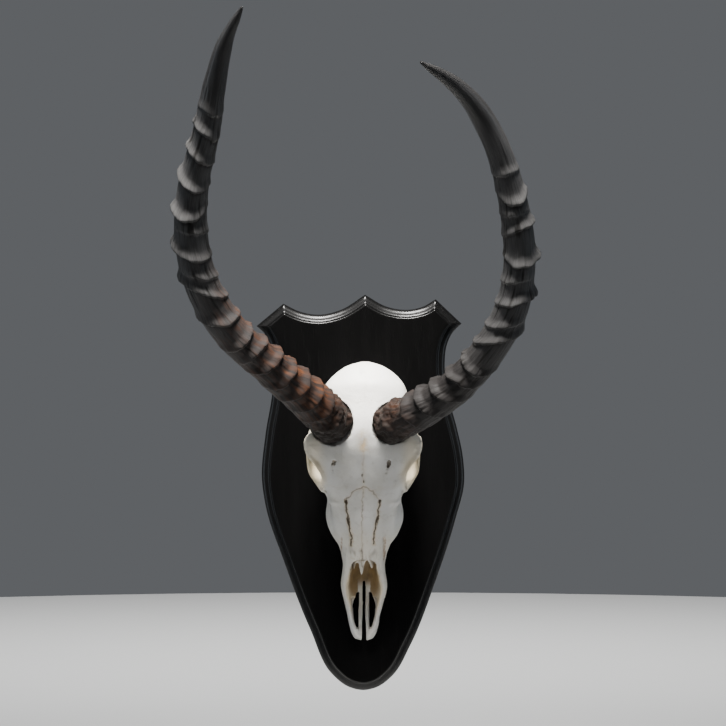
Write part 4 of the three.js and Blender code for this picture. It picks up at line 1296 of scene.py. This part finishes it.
def wood_finish(settings):
    """Black-stained wood: satin, with the short open pores of its upright grain and faint broad figure."""
    finish = Finish("black_wood")
    pores = finish.noise(1.1, detail=3, rough=0.6, place=finish.stretched(1, 1, 0.045))
    figure = finish.noise(14, detail=3, place=finish.stretched(1, 1, 0.12))
    open_pores = pores.between(0.56, 0.70)
    colour = finish.mix(figure, settings.wood_colour, (0.0026, 0.0025, 0.0025))
    colour = finish.mix(open_pores * 0.8, colour, (0.001, 0.001, 0.001))
    rough = 0.34 + figure * 0.08 + open_pores * 0.3
    fine = finish.relief(1 - open_pores, 0.14)
    grained = finish.relief(figure, 0.12, fine)
    return finish.shade(Base_Color=colour, Roughness=rough, Normal=grained, Specular_IOR_Level=0.04,
                        Coat_Weight=finish.mark("moulding") * 0.35, Coat_Roughness=0.27)


def enamel_finish(settings):
    """Teeth: ivory enamel, browner at the root, stained dark in the hollows of the chewing face."""
    finish = Finish("enamel")
    lines = finish.noise(2.2, detail=4, place=finish.stretched(1, 0.2, 1))
    root, level = finish.mark("root"), finish.mark("level")
    colour = finish.mix(lines.between(0.3, 0.75) * 0.5, settings.tooth_colour, (0.52, 0.42, 0.27))
    colour = finish.mix(root * 0.6, colour, (0.42, 0.31, 0.17))
    colour = finish.mix(level.between(0.15, 0.6) * (1 - root) * 0.25, colour, (0.2, 0.13, 0.06))
    rough = 0.24 + lines * 0.14 + root * 0.2
    return finish.shade(Base_Color=colour, Roughness=rough, Normal=finish.relief(lines, 0.08), IOR=1.6)


def steel_finish(settings):
    """Screws: zinc-bright steel with turning marks and dull patches."""
    finish = Finish("screw_steel")
    patches = finish.noise(3, detail=4)
    turned = finish.noise(0.5, detail=2, place=finish.stretched(0.3, 1, 0.3))
    colour = finish.mix(patches, settings.steel_colour, (0.42, 0.40, 0.37))
    rough = 0.26 + patches * 0.18 + turned * 0.1
    return finish.shade(Base_Color=colour, Roughness=rough, Metallic=1.0, Normal=finish.relief(turned, 0.02))


def floor_finish(settings):
    """The studio floor: matt and pale, with faint wide patches."""
    finish = Finish("stage_floor")
    patches = finish.noise(220, detail=2)
    colour = finish.mix(patches * 0.15, settings.floor_colour, (0.7, 0.7, 0.7))
    return finish.shade(Base_Color=colour, Roughness=0.9 - patches * 0.05)


# The stage, in metres and degrees. The camera's lens and sensor are in millimetres.
FLOOR_UP = -0.45
FLOOR_RINGS = (0.5, 1.5, 3.5)
ROOM_COLOUR = (0.90, 0.94, 1.0, 1.0)
ROOM_STRENGTH = 0.13
SPOT_ANGLE = 8
CAMERA_PLACE = (0.0, -2.32, 0.1305)
CAMERA_LENS = 114.05
CAMERA_SENSOR = 36.0


# The add-on: what a user would change, one operator for each kind of piece and one for the stage.

def colour_of(name, description, default):
    """A property that holds a colour."""
    return bpy.props.FloatVectorProperty(
        name=name, description=description, default=default, subtype="COLOR", min=0, max=1)


def length_of(name, description, default, low, high):
    """A property that holds a length in metres."""
    return bpy.props.FloatProperty(
        name=name, description=description, default=default, min=low, max=high, subtype="DISTANCE",
        unit="LENGTH", precision=5)


def power_of(name, description, default):
    """A property that holds a light's power in watts."""
    return bpy.props.FloatProperty(
        name=name, description=description, default=default, min=0, subtype="POWER", unit="POWER")


class IMPALA_PG_skull(bpy.types.PropertyGroup):
    mesh_step: length_of("Mesh step", "Size of the skull's faces", 0.0014, 0.001, 0.004)
    seam_depth: length_of("Seam depth", "How deep the seams between the bones are", 0.00045, 0, 0.002)
    bone_colour: colour_of("Bone", "The bone's main colour", (0.42, 0.415, 0.40))
    warm_colour: colour_of("Bone clouds", "The bone's warmer clouds", (0.36, 0.34, 0.29))
    cream_colour: colour_of("Round the eyes", "The bone at the sides and round the eyes", (0.50, 0.42, 0.28))
    seam_colour: colour_of("Seams", "The seams between the bones", (0.060, 0.040, 0.020))


class IMPALA_PG_horns(bpy.types.PropertyGroup):
    rows: bpy.props.IntProperty(
        name="Rows", description="Rows of faces along a horn", default=560, min=120, max=640)
    columns: bpy.props.IntProperty(
        name="Columns", description="Faces round a horn", default=144, min=24, max=160)
    ridge_share: bpy.props.FloatProperty(
        name="Ridge height", description="Share of the ridges' real height", default=1.0, min=0, max=1.0,
        subtype="FACTOR")
    horn_colour: colour_of("Horn", "The horn's main colour", (0.055, 0.054, 0.054))
    red_colour: colour_of("Lower horn", "The reddish horn between the lower ridges", (0.072, 0.026, 0.010))


class IMPALA_PG_board(bpy.types.PropertyGroup):
    wood_colour: colour_of("Stained wood", "The board's stain", (0.0012, 0.0012, 0.0012))


class IMPALA_PG_hardware(bpy.types.PropertyGroup):
    tooth_colour: colour_of("Enamel", "The teeth's enamel", (0.66, 0.58, 0.43))
    steel_colour: colour_of("Steel", "The screws' steel", (0.62, 0.61, 0.58))


class IMPALA_PG_stage(bpy.types.PropertyGroup):
    floor_colour: colour_of("Floor", "The floor's colour", (0.62, 0.62, 0.61))
    spot_power: power_of("Skull light", "Power of the narrow light on the top of the skull", 110)
    top_power: power_of("Top light", "Power of the light above", 13)
    front_power: power_of("Front light", "Power of the large soft light in front", 6)
    floor_power: power_of("Floor light", "Power of the light behind, which falls on the floor alone", 45)
    side_power: power_of("Side lights", "Power of each of the two tall lights", 4)


class IMPALA_PG_parts(bpy.types.PropertyGroup):
    skull: bpy.props.PointerProperty(type=IMPALA_PG_skull)
    horns: bpy.props.PointerProperty(type=IMPALA_PG_horns)
    board: bpy.props.PointerProperty(type=IMPALA_PG_board)
    hardware: bpy.props.PointerProperty(type=IMPALA_PG_hardware)
    stage: bpy.props.PointerProperty(type=IMPALA_PG_stage)


class IMPALA_OT_board(bpy.types.Operator):
    """Makes the shield board with its moulded edge"""
    bl_idname = "impala.board"
    bl_label = "Board"

    def execute(self, context):
        points, faces = board_skin()
        marks = {"moulding": points[:, 1] > 0.1 - BOARD_THICKNESS}
        material = wood_finish(context.scene.impala.board)
        new_piece("shield_board", points, faces, "board", material, marks, sharp=42)
        return {"FINISHED"}


class IMPALA_OT_skull(bpy.types.Operator):
    """Makes the skull's bone"""
    bl_idname = "impala.skull"
    bl_label = "Skull"

    def execute(self, context):
        settings = context.scene.impala.skull
        points, faces, marks = skull_skin(settings.mesh_step / MM, settings.seam_depth / MM)
        new_piece("skull_bone", points, faces, "skull", bone_finish(settings), marks)
        return {"FINISHED"}


class IMPALA_OT_horns(bpy.types.Operator):
    """Makes the two ringed horns"""
    bl_idname = "impala.horns"
    bl_label = "Horns"

    def execute(self, context):
        settings = context.scene.impala.horns
        material = horn_finish(settings)
        for node, horn in HORNS.items():
            points, faces, marks = horn_skin(horn, settings.rows, settings.columns, settings.ridge_share)
            new_piece(f"{node}_sheath", points, faces, node, material, marks)
        return {"FINISHED"}


class IMPALA_OT_teeth(bpy.types.Operator):
    """Makes the twelve upper cheek teeth"""
    bl_idname = "impala.teeth"
    bl_label = "Teeth"

    def execute(self, context):
        material = enamel_finish(context.scene.impala.hardware)
        for name, length, width, middle, across in tooth_places():
            for word, side in (("left", -1), ("right", 1)):
                points, faces, marks = tooth_skin(length, width, middle, across, side)
                new_piece(f"tooth_{name}_{word}", points, faces, f"{name}_{word}", material, marks)
        return {"FINISHED"}


class IMPALA_OT_screws(bpy.types.Operator):
    """Makes the two countersunk screws that hold the skull"""
    bl_idname = "impala.screws"
    bl_label = "Screws"

    def execute(self, context):
        material = steel_finish(context.scene.impala.hardware)
        for node, up in SCREW_PLACES.items():
            points, faces = screw_skin(up)
            new_piece(f"steel_{node}", points, faces, node, material, sharp=50)
        return {"FINISHED"}


class IMPALA_OT_stage(bpy.types.Operator):
    """Makes the floor, the lights and the camera"""
    bl_idname = "impala.stage"
    bl_label = "Stage"

    def execute(self, context):
        settings = context.scene.impala.stage
        add_floor(settings)
        add_lights(settings)
        camera = bpy.data.cameras.new("Camera")
        camera.lens = CAMERA_LENS
        camera.sensor_width = CAMERA_SENSOR
        eye = bpy.data.objects.new("Camera", camera)
        eye.location = CAMERA_PLACE
        eye.rotation_euler = (math.pi / 2, 0.0, 0.0)
        context.scene.collection.objects.link(eye)
        context.scene.camera = eye
        return {"FINISHED"}


def add_floor(settings):
    """A round flat floor, made of rings round a middle point."""
    columns = 96
    angle = round_angles(columns)
    rings = [np.column_stack([reach * np.cos(angle), reach * np.sin(angle), np.full(columns, FLOOR_UP)])
             for reach in FLOOR_RINGS]
    points = np.concatenate([*rings, [(0, 0, FLOOR_UP)]])
    faces = [*ring_faces(len(rings), columns)[:, ::-1].tolist(),
             *fan_faces(np.arange(columns), len(rings) * columns).tolist()]
    mesh = bpy.data.meshes.new("Floor")
    mesh.from_pydata(points.tolist(), [], faces)
    mesh.materials.append(floor_finish(settings))
    floor = bpy.data.objects.new("Floor", mesh)
    bpy.context.scene.collection.objects.link(floor)


def add_lights(settings):
    """The room's own light, then each light as where it stands, what it points at, its size and power."""
    world = bpy.data.worlds.new("Pale room")
    world.use_nodes = True
    background = world.node_tree.nodes["Background"]
    background.inputs["Color"].default_value = ROOM_COLOUR
    background.inputs["Strength"].default_value = ROOM_STRENGTH
    bpy.context.scene.world = world

    area_light("Top light", (-0.08, -0.7, 1.35), (0.0, -0.15, 0.15), (0.5, 0.4), settings.top_power,
               (1.0, 0.98, 0.95), spread=50)
    spot = bpy.data.lights.new("Skull light", "SPOT")
    spot.energy = settings.spot_power
    spot.color = (1.0, 0.96, 0.90)
    spot.spot_size = math.radians(SPOT_ANGLE)
    spot.spot_blend = 1.0
    spot.shadow_soft_size = 0.04
    aimed(spot, (0.0, -0.62, 1.45), (0.0, -0.08, 0.11))
    area_light("Front light", (-0.9, -2.3, 1.3), (0.0, -0.1, 0.05), (1.2, 1.0), settings.front_power,
               (1.0, 1.0, 1.0))
    for side in (-1, 1):
        area_light("Side light", (1.2 * side, -0.25, 0.1), (0.0, 0.0, 0.05), (0.3, 1.3), settings.side_power,
                   (0.80, 0.90, 1.0))
    area_light("Floor light", (0.0, 2.0, 1.6), (0.0, 2.2, FLOOR_UP), (3.0, 1.5), settings.floor_power,
               (1.0, 1.0, 1.0), spread=110)


def aimed(light, place, aim):
    """Puts a light at a place and turns it towards another."""
    lamp = bpy.data.objects.new(light.name, light)
    lamp.location = place
    towards = mathutils.Vector(aim) - mathutils.Vector(place)
    lamp.rotation_euler = towards.to_track_quat("-Z", "Y").to_euler()
    bpy.context.scene.collection.objects.link(lamp)


def area_light(name, place, aim, size, power, colour, spread=180):
    """A rectangle of light whose light leaves within a cone of spread degrees."""
    light = bpy.data.lights.new(name, "AREA")
    light.shape = "RECTANGLE"
    light.size, light.size_y = size
    light.energy = power
    light.color = colour
    light.spread = math.radians(spread)
    aimed(light, place, aim)


class IMPALA_PT_parts(bpy.types.Panel):
    """The sizes and colours of the impala skull, with a button for each kind of piece"""
    bl_idname = "IMPALA_PT_parts"
    bl_label = "Impala skull"
    bl_space_type = "VIEW_3D"
    bl_region_type = "UI"
    bl_category = "Impala"

    def draw(self, context):
        parts = context.scene.impala
        for operator, settings in ((IMPALA_OT_board, parts.board), (IMPALA_OT_skull, parts.skull),
                                   (IMPALA_OT_horns, parts.horns), (IMPALA_OT_teeth, parts.hardware),
                                   (IMPALA_OT_screws, parts.hardware), (IMPALA_OT_stage, parts.stage)):
            box = self.layout.box()
            for name in settings.bl_rna.properties.keys():
                if name not in ("rna_type", "name"):
                    box.prop(settings, name)
            box.operator(operator.bl_idname)


OPERATORS = (IMPALA_OT_board, IMPALA_OT_skull, IMPALA_OT_horns, IMPALA_OT_teeth, IMPALA_OT_screws,
             IMPALA_OT_stage)
CLASSES = (IMPALA_PG_skull, IMPALA_PG_horns, IMPALA_PG_board, IMPALA_PG_hardware, IMPALA_PG_stage,
           IMPALA_PG_parts, *OPERATORS, IMPALA_PT_parts)


def register():
    """Adds the classes and the scene's own settings."""
    for kind in CLASSES:
        bpy.utils.register_class(kind)
    bpy.types.Scene.impala = bpy.props.PointerProperty(type=IMPALA_PG_parts)


def unregister():
    """Takes the settings and the classes away again."""
    del bpy.types.Scene.impala
    for kind in reversed(CLASSES):
        bpy.utils.unregister_class(kind)


def main():
    """Builds every piece and the stage."""
    register()
    for kind in OPERATORS:
        group, name = kind.bl_idname.split(".")
        if getattr(getattr(bpy.ops, group), name)() != {"FINISHED"}:
            raise RuntimeError(f"{kind.bl_label} didn't finish")


if __name__ == "__main__":
    main()
